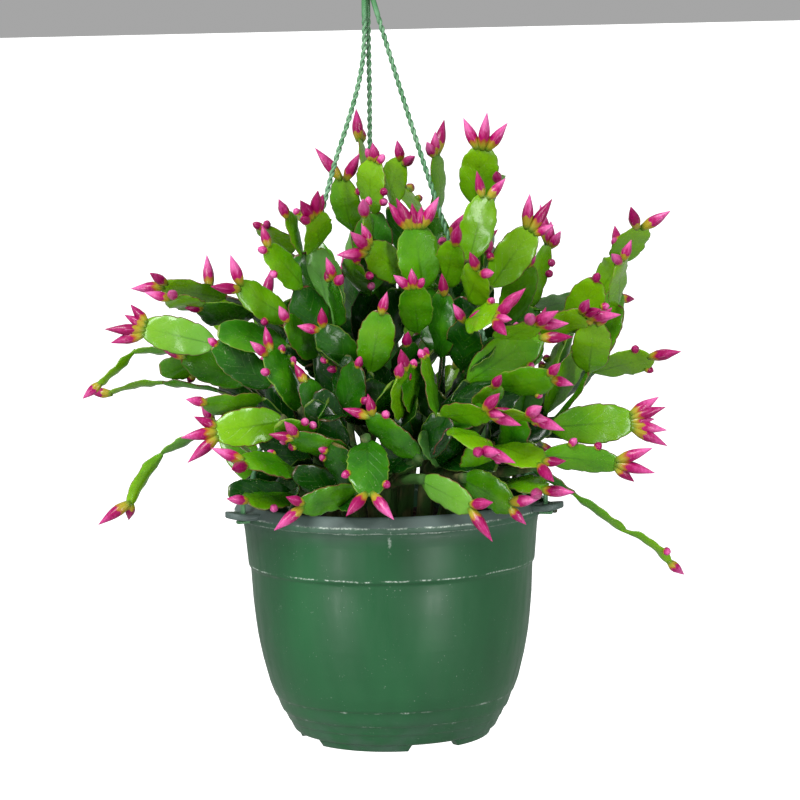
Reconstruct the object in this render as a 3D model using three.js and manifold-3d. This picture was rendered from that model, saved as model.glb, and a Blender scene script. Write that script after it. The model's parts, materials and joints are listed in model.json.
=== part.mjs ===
// A hanging basket with a flowering holiday cactus: a nursery pot on a three-armed plastic hanger,
// filled with soil, and a dome of flat jointed stems with buds at their tips.
// Millimetres, +Z up. The origin is the point where the hook bears on whatever holds it.

import * as THREE from "three";
import { mergeVertices } from "three/addons/utils/BufferGeometryUtils.js";
import Module from "manifold-3d";

const wasm = await Module();
wasm.setup();

const rad = THREE.MathUtils.degToRad;
const vec = (x, y, z) => new THREE.Vector3(x, y, z);

// ---------------------------------------------------------------- driving dimensions

const GAP = 0.3; // clearance kept between two pieces that touch

// Pot: outer radius at each height, from the base corner up to the flange.
const POT_HEIGHT = 151; // up to the edge of its flange
const SHOULDER_HEIGHT = 157; // of the rim, which rises inwards from that edge
const SHOULDER_RADIUS = 97.5;
const POT_WALL = 1.9;
const POT_FLOOR = 7.5; // top of the pot's floor
const FOOT_HEIGHT = 4.5;
const POT_PROFILE = [
  [60.5, 4.5], [65.2, 5.2], [69.2, 12], [76, 24], [82.4, 42], [88, 67], [90.6, 88], [92, 112], [93.4, 115],
  [95.3, 139], [96.2, 147],
];
const INNER_HEIGHTS = [24, 67, 112, 115, 147]; // of that profile, the ones its inner face follows
const FLANGE_RADIUS = 101.5;
const FLANGE_THICKNESS = 4;
const FOOT_OUTER = 61.7;
const FOOT_INNER = 56;
const FOOT_NOTCH = 28; // degrees of ring left out between two feet
const FOOT_NOTCH_AT = [-66, 24, 114, 204]; // degrees from +X
const DRAIN_RADIUS = 4;
const DRAIN_RING = 44;
const POT_SIDES = 28;

const EAR_AT = { left: -152, right: -21, back: 98 }; // degrees from +X
const EAR_REACH = 118;
const EAR_WIDTH = 20;
const EAR_LOW = 150.5; // height of its underside
const EAR_SIDES = 12; // of its round end
const SLOT_LENGTH = 4.2; // the way the ear points
const SLOT_WIDTH = 7;

const SOIL_TOP = 139;
const SOIL_CROWN = 62; // radius of its level middle
const SOIL_SIDES = 20;

// Hanger: a hook and collar over the plant, and an arm with a clip to each ear.
const COLLAR_BOTTOM = vec(-7, 0, 480);
const COLLAR_HEIGHT = 24;
const COLLAR_RADIUS = 6.5;
const COLLAR_SIDES = 12;
const HOOK_RADIUS = 13; // to the middle of the bar
const HOOK_BAR = 5;
const HOOK_SIDES = 6;
const HOOK_STEPS = 14;
const HOOK_SHANK = 16;
const ARM_DIAMETER = 3.6;
const ARM_SIDES = 6;
const ARM_STEPS = 10;
const ARM_SPREAD = 2.9; // from the collar's middle to the top of each arm
const ARM_WAIST = { left: -34, right: -4, back: -60 }; // where each arm leaves the others
const ARM_BOW = { left: 0, right: -4, back: -3 }; // how far its middle sags outwards
const CLIP_WIDTH = 5;
const CLIP_THICKNESS = 2.2;
const CLIP_FOOT = 8; // length of its foot beneath the ear, which the slot doesn't let through
const CLIP_RISE = 24; // height of its arch over the ear, where the arm meets it
const CLIP_RADIUS = 106.5; // of its outer leg, through the slot, from the pot's axis
const CLIP_INNER = 92; // of its inner leg, inside the rim
const CLIP_DIP = 6; // how far that leg reaches below the rim

// Plant
const BLADE_LENGTH = 46;
const BLADE_WIDTH = 26;
const BLADE_THICKNESS = 2.6;
const SINK = 2.4; // how far a blade's base is sunk past its joint
const NECK = 1.7; // thickness of that base, which is a short edge across the bearer's tip
const SIBLING_GAP = 4.2; // between blades that grow from one tip
const SIBLING_REACH = 0.3; // of that tip's half width, past which none of them grows
const BUD = { L: [23, 3.6], M: [15, 3.1], S: [6.5, 2.4] }; // length and radius of each size of bud
const BUD_SIDES = 3;
const BUD_SINK = 1.8; // depth of a bud's root in the tip of its blade
const WOOD_RADIUS = [4.2, 3.2]; // of the woody joints next to a trunk, at each end
const WOOD_SIDES = 3;
const TRUNK_RADIUS = 5;
const TRUNK_SIDES = 5;
const TRUNK_ROOT = 24; // depth of a trunk in the soil
const OUTER_STEMS = 10;
const INNER_STEMS = 4;

// The front of the plant is laid out on an elevation seen from a little above: millimetres to
// the right of the rim's middle, up from it, and towards the front.
const SIGHT_DOWN = rad(8.5);
const SIGHT_DISTANCE = 2200;
const SIGHT_LEAN = rad(1.3); // the basket leans to the left by this much there

// Each shoot's last blade: its joint right and up, its tip right and up, the width seen, how far
// forward its joint is, and the sizes of its buds from left to right.
const FRONT_SHOOTS = [
  // top
  [55, 195, 60, 233, 26, 0, "LLL"], [51, 159, 62, 201, 23, 62, "MM"], [65, 142, 92, 179, 25, 40, "LLM"],
  [94, 128, 104, 170, 12, -12, "LMM"], [30, 187, 29, 229, 11, -8, "MML"], [1, 194, 8, 224, 17, -6, "MM"],
  [-11, 190, -10, 225, 18, 34, "SMS"], [-16, 198, -20, 238, 8, -44, "LM"],
  [-23, 177, -31, 213, 20, 8, "LL"], [-12, 172, -17, 189, 12, 44, "L"], [66, 196, 70, 211, 8, -10, "M"],
  [60, 150, 63, 164, 8, -8, "L"], [28, 166, 37, 173, 8, -6, "LM"],
  // upper left
  [-52, 165, -51, 188, 16, 62, "MLLM"], [-66, 163, -83, 181, 14, -14, "SS"],
  [-55, 142, -81, 167, 18, 62, "SM"], [-57, 163, -68, 188, 8, 60, "M"],
  [-50, 170, -58, 186, 8, -46, "M"],
  // middle, upper
  [21, 140, 16, 181, 28, 66, "LLMML"], [10, 148, -15, 167, 23, 50, "LLM"],
  [18, 190, 10, 206, 12, -30, "MM"], [36, 142, 42, 170, 20, 60, "L"], [51, 133, 58, 152, 22, 74, "MM"],
  [-16, 139, -22, 158, 14, 34, "M"],
  // middle
  [-14, 87, -6, 125, 24, 84, "M"], [18, 112, 15, 142, 22, 78, "MMS"], [34, 98, 35, 137, 17, 64, "M"],
  [48, 86, 50, 119, 23, 68, "MM"], [50, 80, 97, 111, 28, 88, "ML"], [71, 74, 105, 83, 19, 88, "MM"],
  [98, 110, 127, 124, 16, 44, "MML"], [16, 60, 8, 86, 14, 100, "L"], [2, 52, 2, 74, 19, 86, ""],
  [7, 83, 10, 104, 19, 52, "M"], [-33, 56, -21, 90, 21, 82, "S"], [-20, 84, -46, 115, 22, 74, "MM"],
  [-40, 116, -36, 146, 14, 56, "MM"], [42, 60, 22, 96, 9, 96, "SS"], [56, 58, 66, 79, 16, 80, "M"],
  [32, 46, 62, 58, 14, 92, "L"], [9, 66, 5, 86, 13, 104, "M"],
  [2, 98, 4, 140, 20, 26, ""], [76, 118, 90, 156, 22, 6, "M"],
  [-8, 118, -5, 160, 22, 10, ""], [-8, 58, -4, 100, 20, 20, ""], [84, 48, 90, 86, 20, 10, ""],
  // buds to the right of the middle, on short shoots
  [70, 106, 94, 118, 14, 80, "LLL"], [46, 112, 70, 123, 15, 92, "LLML"], [34, 56, 64, 60, 15, 108, "LML"],
  [68, 50, 92, 57, 12, 108, "LML"], [40, 50, 60, 35, 13, 114, "LLM"],
  // right
  [129, 86, 133, 118, 26, 34, "MM"], [119, 114, 134, 146, 25, 8, "S"],
  [146, 140, 148, 170, 9, -22, "M"], [150, 157, 163, 181, 21, -12, "LL"],
  [148, 130, 151, 159, 13, 8, "MM"], [131, 132, 150, 134, 12, -34, "M"],
  [130, 88, 170, 96, 16, -6, "L"], [101, 62, 124, 99, 16, 12, "S"],
  [104, 50, 158, 54, 26, 58, "LLMLL"], [100, 32, 148, 26, 18, 76, "LLM"],
  [66, 34, 99, 26, 16, 100, "ML"], [50, 18, 79, -1, 20, 98, "LM"], [20, 16, 53, -2, 18, 104, "LL"],
  [77, 14, 98, 8, 14, 86, "LL"],
  // left
  [-68, 103, -112, 113, 20, 66, ""], [-112, 112, -161, 115, 24, 58, "LLMM"],
  [-66, 120, -99, 142, 20, 66, "LL"], [-107, 135, -148, 143, 14, 6, "LM"],
  [-124, 128, -143, 135, 11, 30, "MM"], [-89, 123, -124, 128, 15, 16, "M"],
  [-92, 80, -135, 96, 22, 30, "M"], [-78, 77, -114, 104, 22, 66, "S"], [-84, 68, -121, 66, 14, 72, "M"],
  [-72, 52, -114, 47, 25, 82, "LLM"], [-63, 22, -96, 27, 15, 86, "LL"], [-23, 9, -58, -1, 16, 98, "LM"],
  [-63, 6, -94, 2, 12, 72, "M"], [-46, 98, -68, 120, 18, 66, "M"], [-58, 61, -80, 99, 18, 74, "MM"],
  [-32, 38, -56, 80, 20, 88, "M"], [-29, 30, -63, 44, 15, 98, "MM"], [-46, 44, -72, 52, 15, 88, ""],
  [16, 36, -12, 62, 17, 94, "MM"], [-13, 40, -14, 6, 27, 108, "LL"],
  [-108, 94, -150, 88, 15, 22, ""],
  // behind the front blades, low down
  [30, 30, 34, 62, 22, 84, ""], [-2, 22, 4, 54, 20, 80, ""], [52, 12, 60, 44, 22, 84, ""],
  [-26, 8, -34, 42, 22, 84, ""], [74, 30, 84, 58, 20, 76, ""],
];

// Slim young shoots that hang past the rest: the joints from the inner one out, then the buds.
const TRAILING_SHOOTS = [
  [[91, 25, 64], [119, 7, 50], [152, -17, 34], [182, -38, 20], "M"],
  [[-118, 48, 30], [-149, 33, 24], [-170, 0, 16], "LM"],
  [[-134, 98, 26], [-168, 99, 26], [-190, 78, 26], "M"],
  [[-112, 74, 18], [-148, 79, 14], [-183, 72, 8], "M"],
];
const TRAILING_WIDTH = 12;

// The rest is filled by two spirals of shoots, over a dome of this reach and over a smaller one
// inside it: how many each tries, from which height to which, how far out, how near to another
// tip, and how far to the front and to either side.
const DOME_REACH = vec(168, 158, 218);
const OUTER_DOME = {
  shoots: 120, first: 0, low: -0.1, high: 0.95, share: 1, spacing: 43, front: -24, side: 118,
};
const INNER_DOME = {
  shoots: 4, first: 300, low: -0.2, high: 0.75, share: 0.62, spacing: 34, front: 110, side: 118,
};

// The dome is narrower at its foot: how far to either side there, and how much more with height.
const LOW_SIDE = 78;
const SIDE_SLOPE = 260;

// Stems bend clear of each other: the middle lines of two blades keep the first gap, and a blade's
// from a hanger arm's the second.
const SPREAD_GAP = 10;
const ARM_GAP = 11;
const SPREAD_PASSES = 40;

// ---------------------------------------------------------------- solids

// The closed solid inside a geometry: its vertices joined, and the empty faces at its poles left out.
function solid(geometry) {
  const bare = geometry.index ? geometry.toNonIndexed() : geometry.clone();
  bare.deleteAttribute("normal");
  bare.deleteAttribute("uv");
  const merged = mergeVertices(bare, 1e-4);
  const index = merged.index.array;
  const faces = [];
  for (let i = 0; i < index.length; i += 3) {
    const [a, b, c] = [index[i], index[i + 1], index[i + 2]];
    if (a !== b && b !== c && c !== a) faces.push(a, b, c);
  }
  const mesh = new wasm.Mesh({
    numProp: 3,
    vertProperties: new Float32Array(merged.attributes.position.array),
    triVerts: new Uint32Array(faces),
  });
  return new wasm.Manifold(mesh);
}

// A named mesh of a solid, in a material of its own.
function piece(name, body, material) {
  const { numProp, vertProperties, triVerts } = body.getMesh();
  const points = [];
  for (let i = 0; i < vertProperties.length; i += numProp) {
    points.push(vertProperties[i], vertProperties[i + 1], vertProperties[i + 2]);
  }
  const geometry = new THREE.BufferGeometry();
  geometry.setAttribute("position", new THREE.Float32BufferAttribute(points, 3));
  geometry.setIndex([...triVerts]);
  const mesh = new THREE.Mesh(geometry.toNonIndexed(), material);
  mesh.geometry.computeVertexNormals();
  mesh.name = name;
  return mesh;
}

const joined = (bodies) => wasm.Manifold.union(bodies);

// The largest of the separate bodies in a solid.
function largest(body) {
  const bodies = body.decompose();
  return bodies.reduce((best, next) => (next.volume() > best.volume() ? next : best));
}

// A profile of [radius, height], turned round the Z axis.
function lathe(profile, sides) {
  const points = profile.map(([radius, height]) => new THREE.Vector2(radius, height));
  return new THREE.LatheGeometry(points, sides).rotateX(Math.PI / 2);
}

const turned = (profile, sides) => solid(lathe(profile, sides));

// A geometry moved so that its origin is at one point and its +Z axis runs to another.
function aimed(geometry, from, to) {
  const turn = new THREE.Quaternion().setFromUnitVectors(vec(0, 0, 1), to.clone().sub(from).normalize());
  return geometry.applyQuaternion(turn).translate(from.x, from.y, from.z);
}

// A round bar of a few sides between two points.
function bar(from, to, radiusFrom, radiusTo, sides) {
  const length = from.distanceTo(to);
  const geometry = new THREE.CylinderGeometry(radiusTo, radiusFrom, length, sides);
  geometry.rotateX(Math.PI / 2).translate(0, 0, length / 2);
  return solid(aimed(geometry, from, to));
}

// A section swept along a smooth curve through points.
function swept(section, points, steps) {
  const path = new THREE.CatmullRomCurve3(points, false, "centripetal");
  return solid(new THREE.ExtrudeGeometry(section, { steps, extrudePath: path, bevelEnabled: false }));
}

function polygon(radius, sides) {
  const corners = [];
  for (let i = 0; i < sides; i++) {
    const angle = (2 * Math.PI * (i + 0.5)) / sides;
    corners.push(new THREE.Vector2(radius * Math.cos(angle), radius * Math.sin(angle)));
  }
  return new THREE.Shape(corners);
}

function block(width, depth, height, centre, azimuth) {
  const geometry = new THREE.BoxGeometry(width, depth, height);
  geometry.translate(centre[0], centre[1], centre[2]).rotateZ(rad(azimuth));
  return solid(geometry);
}

// ---------------------------------------------------------------- pot and soil

// Inner face of the pot wall, from the floor up to the flange.
function innerProfile(inset) {
  const wall = POT_PROFILE.filter(([, height]) => INNER_HEIGHTS.includes(height));
  const inner = wall.map(([radius, height]) => [radius - POT_WALL - inset, height]);
  return [[POT_PROFILE[1][0] - POT_WALL - inset, POT_FLOOR + inset], ...inner];
}

// An ear: a tab with a round end, and a slot that a clip goes down through.
function earSolid(azimuth) {
  const [inner, outer] = [FLANGE_RADIUS - 6, EAR_REACH - EAR_WIDTH / 2];
  const middle = EAR_LOW + FLANGE_THICKNESS / 2;
  const tab = block(outer - inner, EAR_WIDTH, FLANGE_THICKNESS, [(inner + outer) / 2, 0, middle], azimuth);
  const round = new THREE.CylinderGeometry(EAR_WIDTH / 2, EAR_WIDTH / 2, FLANGE_THICKNESS, EAR_SIDES);
  const end = solid(round.rotateX(Math.PI / 2).translate(outer, 0, middle).rotateZ(rad(azimuth)));
  const slot = block(SLOT_LENGTH, SLOT_WIDTH, FLANGE_THICKNESS + 2, [CLIP_RADIUS, 0, middle], azimuth);
  return joined([tab, end]).subtract(slot);
}

function potSolid() {
  const inner = innerProfile(0);
  const top = inner.at(-1)[0];
  const profile = [
    [0, FOOT_HEIGHT],
    ...POT_PROFILE,
    [FLANGE_RADIUS, POT_HEIGHT - FLANGE_THICKNESS],
    [FLANGE_RADIUS, POT_HEIGHT],
    [SHOULDER_RADIUS, SHOULDER_HEIGHT - 0.8],
    [SHOULDER_RADIUS - 1, SHOULDER_HEIGHT],
    [top, SHOULDER_HEIGHT],
    ...inner.reverse(),
    [0, POT_FLOOR],
  ];
  let pot = turned(profile, POT_SIDES);
  const foot = turned(
    [[FOOT_INNER, 0], [FOOT_OUTER, 0], [FOOT_OUTER, 6], [FOOT_INNER, 6], [FOOT_INNER, 0]],
    POT_SIDES,
  );
  const notches = FOOT_NOTCH_AT.map((azimuth) => {
    const width = 2 * FOOT_OUTER * Math.sin(rad(FOOT_NOTCH / 2));
    return block(30, width, FOOT_HEIGHT + 1, [FOOT_OUTER, 0, FOOT_HEIGHT / 2 - 0.5], azimuth);
  });
  const ears = Object.values(EAR_AT).map(earSolid);
  const drains = FOOT_NOTCH_AT.map((azimuth) => {
    const x = DRAIN_RING * Math.cos(rad(azimuth));
    const y = DRAIN_RING * Math.sin(rad(azimuth));
    return bar(vec(x, y, 0), vec(x, y, POT_FLOOR + 2), DRAIN_RADIUS, DRAIN_RADIUS, 8);
  });
  pot = joined([pot, foot.subtract(joined(notches)), ...ears]);
  return pot.subtract(joined(drains));
}

// Soil filling the pot, with its surface a little mounded to the middle and a hole for each trunk.
function soilSolid(holes) {
  const inner = innerProfile(2 * GAP).filter(([, height]) => height < SOIL_TOP - 4);
  const edge = [POT_PROFILE.at(-2)[0] - POT_WALL - 4 * GAP, SOIL_TOP - 4];
  const profile = [[0, POT_FLOOR + GAP], ...inner, edge, [SOIL_CROWN, SOIL_TOP], [0, SOIL_TOP]];
  return turned(profile, SOIL_SIDES).subtract(joined(holes));
}

// ---------------------------------------------------------------- hanger

const HOOK_BASE = COLLAR_BOTTOM.clone().add(vec(0, 0, COLLAR_HEIGHT));
const HOOK_CENTRE = HOOK_BASE.clone().add(vec(0, 0, HOOK_SHANK + HOOK_RADIUS));
const HANG_POINT = HOOK_CENTRE.clone().add(vec(0, 0, HOOK_RADIUS - HOOK_BAR / 2));

// Points along the hook: up the shank, out to its back, over the top and down to its open end.
function hookPoints() {
  const points = [HOOK_BASE.clone().add(vec(0, 0, -4)), HOOK_BASE.clone().add(vec(0, 0, 5))];
  for (let angle = -60; angle <= 200; angle += 26) {
    const x = HOOK_RADIUS * Math.cos(rad(angle));
    const z = HOOK_RADIUS * Math.sin(rad(angle));
    points.push(HOOK_CENTRE.clone().add(vec(x, 0, z)));
  }
  return points;
}

function hookSolid() {
  const profile = [
    [0, 0], [COLLAR_RADIUS - 1.5, 0], [COLLAR_RADIUS, 3], [COLLAR_RADIUS, COLLAR_HEIGHT - 7],
    [HOOK_BAR / 2 + 1, COLLAR_HEIGHT], [0, COLLAR_HEIGHT],
  ];
  const collar = lathe(profile, COLLAR_SIDES).translate(COLLAR_BOTTOM.x, COLLAR_BOTTOM.y, COLLAR_BOTTOM.z);
  return joined([solid(collar), swept(polygon(HOOK_BAR / 2, HOOK_SIDES), hookPoints(), HOOK_STEPS)]);
}

// Where an arm meets its clip, at the top of the arch.
function clipTop(azimuth) {
  const radius = (CLIP_RADIUS + CLIP_INNER) / 2;
  return vec(radius * Math.cos(rad(azimuth)), radius * Math.sin(rad(azimuth)), POT_HEIGHT + CLIP_RISE);
}

// Points along an arm: close under the collar, then down through the plant to its clip.
function armPoints(name) {
  const azimuth = EAR_AT[name];
  const spread = vec(Math.cos(rad(azimuth)), Math.sin(rad(azimuth)), 0);
  const start = COLLAR_BOTTOM.clone().addScaledVector(spread, ARM_SPREAD).add(vec(0, 0, -3 * GAP));
  const waist = start.clone().addScaledVector(spread, 1.2).add(vec(0, 0, ARM_WAIST[name]));
  const end = clipTop(azimuth);
  const points = [start, waist];
  for (const share of [0.3, 0.6, 0.85]) {
    const bow = ARM_BOW[name] * Math.sin(Math.PI * share);
    points.push(waist.clone().lerp(end, share).addScaledVector(spread, bow));
  }
  return [...points, end];
}

// The clip is an arch over the rim: its outer leg goes through the ear's slot to a foot beneath,
// and its inner leg stands inside the rim.
function clipSolid(azimuth) {
  const top = POT_HEIGHT + CLIP_RISE + CLIP_THICKNESS / 2;
  const leg = (radius, low) => {
    return block(CLIP_THICKNESS, CLIP_WIDTH, top - low, [radius, 0, (top + low) / 2], azimuth);
  };
  const low = EAR_LOW - GAP - CLIP_THICKNESS;
  const span = CLIP_RADIUS - CLIP_INNER + CLIP_THICKNESS;
  const archMiddle = [(CLIP_RADIUS + CLIP_INNER) / 2, 0, top - CLIP_THICKNESS / 2];
  const arch = block(span, CLIP_WIDTH, CLIP_THICKNESS, archMiddle, azimuth);
  const footMiddle = [CLIP_RADIUS, 0, low + CLIP_THICKNESS / 2];
  const foot = block(CLIP_FOOT, CLIP_WIDTH, CLIP_THICKNESS, footMiddle, azimuth);
  return joined([leg(CLIP_RADIUS, low), leg(CLIP_INNER, POT_HEIGHT - CLIP_DIP), arch, foot]);
}

function armSolid(name, extra) {
  const section = polygon(ARM_DIAMETER / 2 + extra, ARM_SIDES);
  return joined([swept(section, armPoints(name), ARM_STEPS), clipSolid(EAR_AT[name])]);
}

// ---------------------------------------------------------------- the plant's layout

// A repeatable number from 0 to 1 for a thing and a purpose.
function chance(thing, purpose) {
  let mix = Math.imul(thing + 1, 2654435761) ^ Math.imul(purpose + 1, 2246822519);
  mix = Math.imul((mix ^ (mix >>> 15)) >>> 0, 3266489917);
  mix = Math.imul((mix ^ (mix >>> 13)) >>> 0, 668265263);
  return ((mix ^ (mix >>> 16)) >>> 0) / 4294967296;
}

const TO_FRONT = vec(0, -Math.cos(SIGHT_DOWN), Math.sin(SIGHT_DOWN));
const UP_THE_SIGHT = vec(0, Math.sin(SIGHT_DOWN), Math.cos(SIGHT_DOWN));

// A point of the front elevation, in space.
function place(right, up, near) {
  const shrink = 1 - near / SIGHT_DISTANCE;
  const x = (right * Math.cos(SIGHT_LEAN) + up * Math.sin(SIGHT_LEAN)) * shrink;
  const y = (up * Math.cos(SIGHT_LEAN) - right * Math.sin(SIGHT_LEAN)) * shrink;
  return vec(x, 0, POT_HEIGHT).addScaledVector(UP_THE_SIGHT, y).addScaledVector(TO_FRONT, near);
}

// The part of a direction that is square to an axis, as a unit vector.
function square(direction, axis) {
  return direction.clone().addScaledVector(axis, -direction.dot(axis)).normalize();
}

function shoot(base, tip, width, face, buds) {
  return { base, tip, width, face, buds, bearer: null };
}

// A front shoot leans forward by as much as its full length needs, and turns on its own axis
// until it shows the width seen.
function frontShoot([right, up, tipRight, tipUp, seen, near, buds], index) {
  const flat = Math.hypot(tipRight - right, tipUp - up);
  const length = Math.max(flat, BLADE_LENGTH * (0.92 + 0.14 * chance(index, 1)));
  const lean = Math.sqrt(length * length - flat * flat) * (near < -20 ? -0.5 : 0.8);
  const base = place(right, up, near);
  const tip = place(tipRight, tipUp, near + lean);
  const axis = tip.clone().sub(base).normalize();
  const width = Math.max(seen, BLADE_WIDTH * (0.8 + 0.2 * chance(index, 2)));
  const roll = Math.acos(Math.min(1, seen / width)) * (chance(index, 3) < 0.5 ? -1 : 1);
  return shoot(base, tip, width, square(TO_FRONT, axis).applyAxisAngle(axis, roll), buds);
}

function trailingShoots() {
  return TRAILING_SHOOTS.flatMap((row) => {
    const joints = row.slice(0, -1).map((joint) => place(...joint));
    const blades = joints.slice(1).map((tip, i) => {
      const axis = tip.clone().sub(joints[i]).normalize();
      const last = i === joints.length - 2;
      return shoot(joints[i], tip, TRAILING_WIDTH, square(vec(0.2, 0.4, 1), axis), last ? row.at(-1) : "");
    });
    blades.slice(1).forEach((blade, i) => { blade.bearer = blades[i]; });
    return blades;
  });
}

// Shoots on a golden-angle spiral over a dome, where other tips leave room. Those of the inner
// dome bear no buds.
const DOME_MIDDLE = vec(0, 0, SOIL_TOP + 22);
const BUD_SETS = ["LM", "ML", "LL", "M", "LML", "ML", "M", "L", "MM", "L"];
function domeShoots(others, dome) {
  const shoots = [];
  for (let i = dome.first; i < dome.first + dome.shoots; i++) {
    const climb = (i - dome.first + 0.5) / dome.shoots;
    const height = dome.low + (dome.high - dome.low) * climb;
    const turn = i * rad(137.508) + 0.5 * chance(i, 11);
    const level = Math.sqrt(Math.max(0, 1 - height * height));
    const reach = 0.86 + 0.2 * chance(i, 12);
    const way = vec(level * Math.cos(turn), level * Math.sin(turn), height);
    const tip = DOME_MIDDLE.clone().add(way.clone().multiply(DOME_REACH).multiplyScalar(reach * dome.share));
    const side = Math.min(dome.side, LOW_SIDE + SIDE_SLOPE * Math.max(0, height));
    tip.x = Math.max(-side, Math.min(side, tip.x));
    const rise = square(vec(0, 0, height < 0.12 ? -1 : 1), way);
    const sway = vec(chance(i, 13) - 0.5, chance(i, 14) - 0.5, chance(i, 15) - 0.5);
    const axis = way.clone().addScaledVector(rise, 0.4 + 0.7 * chance(i, 10));
    axis.addScaledVector(sway, 0.9).normalize();
    const base = tip.clone().addScaledVector(axis, -BLADE_LENGTH * (0.96 + 0.18 * chance(i, 16)));
    const near = tip.dot(TO_FRONT) - POT_HEIGHT * TO_FRONT.z;
    const crowded = [...others, ...shoots].some((other) => other.tip.distanceTo(tip) < dome.spacing);
    if (near > dome.front || crowded) continue;
    const face = square(way.clone().add(vec(0, 0, 0.15)), axis);
    face.applyAxisAngle(axis, (chance(i, 17) - 0.5) * 1.4);
    const width = BLADE_WIDTH * (0.88 + 0.24 * chance(i, 18));
    const buds = dome === INNER_DOME ? "" : BUD_SETS[Math.floor(10 * chance(i, 19))];
    shoots.push(shoot(base, tip, width, face, buds));
  }
  return shoots;
}

// A shoot whose joint is at another's tip grows from it.
function findBearers(shoots) {
  for (const young of shoots) {
    if (young.bearer) continue;
    const old = shoots.find((other) => other !== young && other.tip.distanceTo(young.base) < 13);
    if (old && old.bearer !== young) {
      young.bearer = old;
      young.base = old.tip;
    }
  }
}

// The trunks stand in two rings round the pot's axis: each has a root in the soil and a crotch.
function trunks() {
  const list = [];
  for (let i = 0; i < OUTER_STEMS + INNER_STEMS; i++) {
    const inner = i >= OUTER_STEMS;
    const turn = rad(inner ? 50 + (360 * (i - OUTER_STEMS)) / INNER_STEMS : 14 + (360 * i) / OUTER_STEMS);
    const ring = inner ? 10 : 27 + 6 * chance(i, 31);
    const crotchRing = inner ? 20 : 44;
    const crotchUp = inner ? 56 : 30 + 8 * chance(i, 32);
    const root = vec(ring * Math.cos(turn), ring * Math.sin(turn), SOIL_TOP - TRUNK_ROOT);
    const crotch = vec(crotchRing * Math.cos(turn), crotchRing * Math.sin(turn), SOIL_TOP + crotchUp);
    const reach = inner
      ? vec(0.42 * Math.cos(turn), 0.42 * Math.sin(turn), 1)
      : vec(Math.cos(turn), Math.sin(turn), 0.42);
    list.push({ root, crotch, reach: reach.normalize(), joints: [], blades: [] });
  }
  return list;
}

// The trunk whose reach points most nearly at a shoot.
function trunkFor(base, list) {
  const way = base.clone().sub(DOME_MIDDLE).normalize();
  return list.reduce((best, next) => (next.reach.dot(way) > best.reach.dot(way) ? next : best));
}

// Joins a shoot to its trunk: back along its heading and towards the crotch, one blade at a
// time, until a joint that is already there can bear it.
function growBack(start, heading, trunk) {
  let joint = start;
  for (let step = 0; step < 6; step++) {
    const home = joint.at.clone().sub(trunk.crotch);
    const left = home.length();
    if (left < BLADE_LENGTH * 1.5) {
      trunk.blades.push({ from: trunk.joints[0], to: joint, buds: "" });
      return;
    }
    const back = heading.clone().multiplyScalar(0.4).addScaledVector(home.normalize(), 0.6).normalize();
    const wanted = joint.at.clone().addScaledVector(back, -BLADE_LENGTH * 0.95);
    let bearer = null;
    let nearest = 34;
    for (const other of trunk.joints.slice(1)) {
      const span = joint.at.distanceTo(other.at);
      const nearer = other.at.distanceTo(trunk.crotch) < left - BLADE_LENGTH * 0.4;
      const fits = nearer && span > BLADE_LENGTH * 0.65 && span < BLADE_LENGTH * 1.4 && other.children < 4;
      if (fits && other.at.distanceTo(wanted) < nearest) {
        nearest = other.at.distanceTo(wanted);
        bearer = other;
      }
    }
    const from = bearer ?? { at: wanted, children: 0 };
    from.children += 1;
    trunk.blades.push({ from, to: joint, buds: "" });
    if (bearer) return;
    trunk.joints.push(from);
    heading = joint.at.clone().sub(wanted).normalize();
    joint = from;
  }
}

function layout() {
  const front = [...FRONT_SHOOTS.map(frontShoot), ...trailingShoots()];
  const outer = [...front, ...domeShoots(front, OUTER_DOME)];
  const shoots = [...outer, ...domeShoots(outer, INNER_DOME)];
  findBearers(shoots);
  const list = trunks();
  for (const trunk of list) trunk.joints.push({ at: trunk.crotch, children: 0 });
  const rooted = shoots.filter((one) => !one.bearer);
  for (const one of rooted) one.trunk = trunkFor(one.base, list);
  rooted.sort((a, b) => a.base.distanceTo(a.trunk.crotch) - b.base.distanceTo(b.trunk.crotch));
  const add = (one, from, trunk) => {
    const to = { at: one.tip, children: 0 };
    from.children += 1;
    trunk.blades.push({ from, to, width: one.width, face: one.face, buds: one.buds });
    for (const young of shoots.filter((other) => other.bearer === one)) add(young, to, trunk);
  };
  for (const one of rooted) {
    const base = { at: one.base, children: 0 };
    one.trunk.joints.push(base);
    growBack(base, one.tip.clone().sub(one.base).normalize(), one.trunk);
    add(one, base, one.trunk);
  }
  return list;
}

// Every joint of the plant once.
function jointsOf(blades) {
  return [...new Set(blades.flatMap((blade) => [blade.from, blade.to]))];
}

// The shortest gap between two blades' middle lines, and where along each it is.
function closest(a, b) {
  const d1 = a.to.at.clone().sub(a.from.at);
  const d2 = b.to.at.clone().sub(b.from.at);
  const r = a.from.at.clone().sub(b.from.at);
  const [aa, ee, bb] = [d1.dot(d1), d2.dot(d2), d1.dot(d2)];
  const [cc, ff] = [d1.dot(r), d2.dot(r)];
  const clamp = (value) => Math.min(1, Math.max(0, value));
  let s = clamp((bb * ff - cc * ee) / Math.max(1e-9, aa * ee - bb * bb));
  let t = (bb * s + ff) / ee;
  if (t < 0 || t > 1) {
    t = clamp(t);
    s = clamp((bb * t - cc) / aa);
  }
  const gap = a.from.at.clone().addScaledVector(d1, s).sub(b.from.at.clone().addScaledVector(d2, t));
  return { s, t, gap };
}

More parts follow.
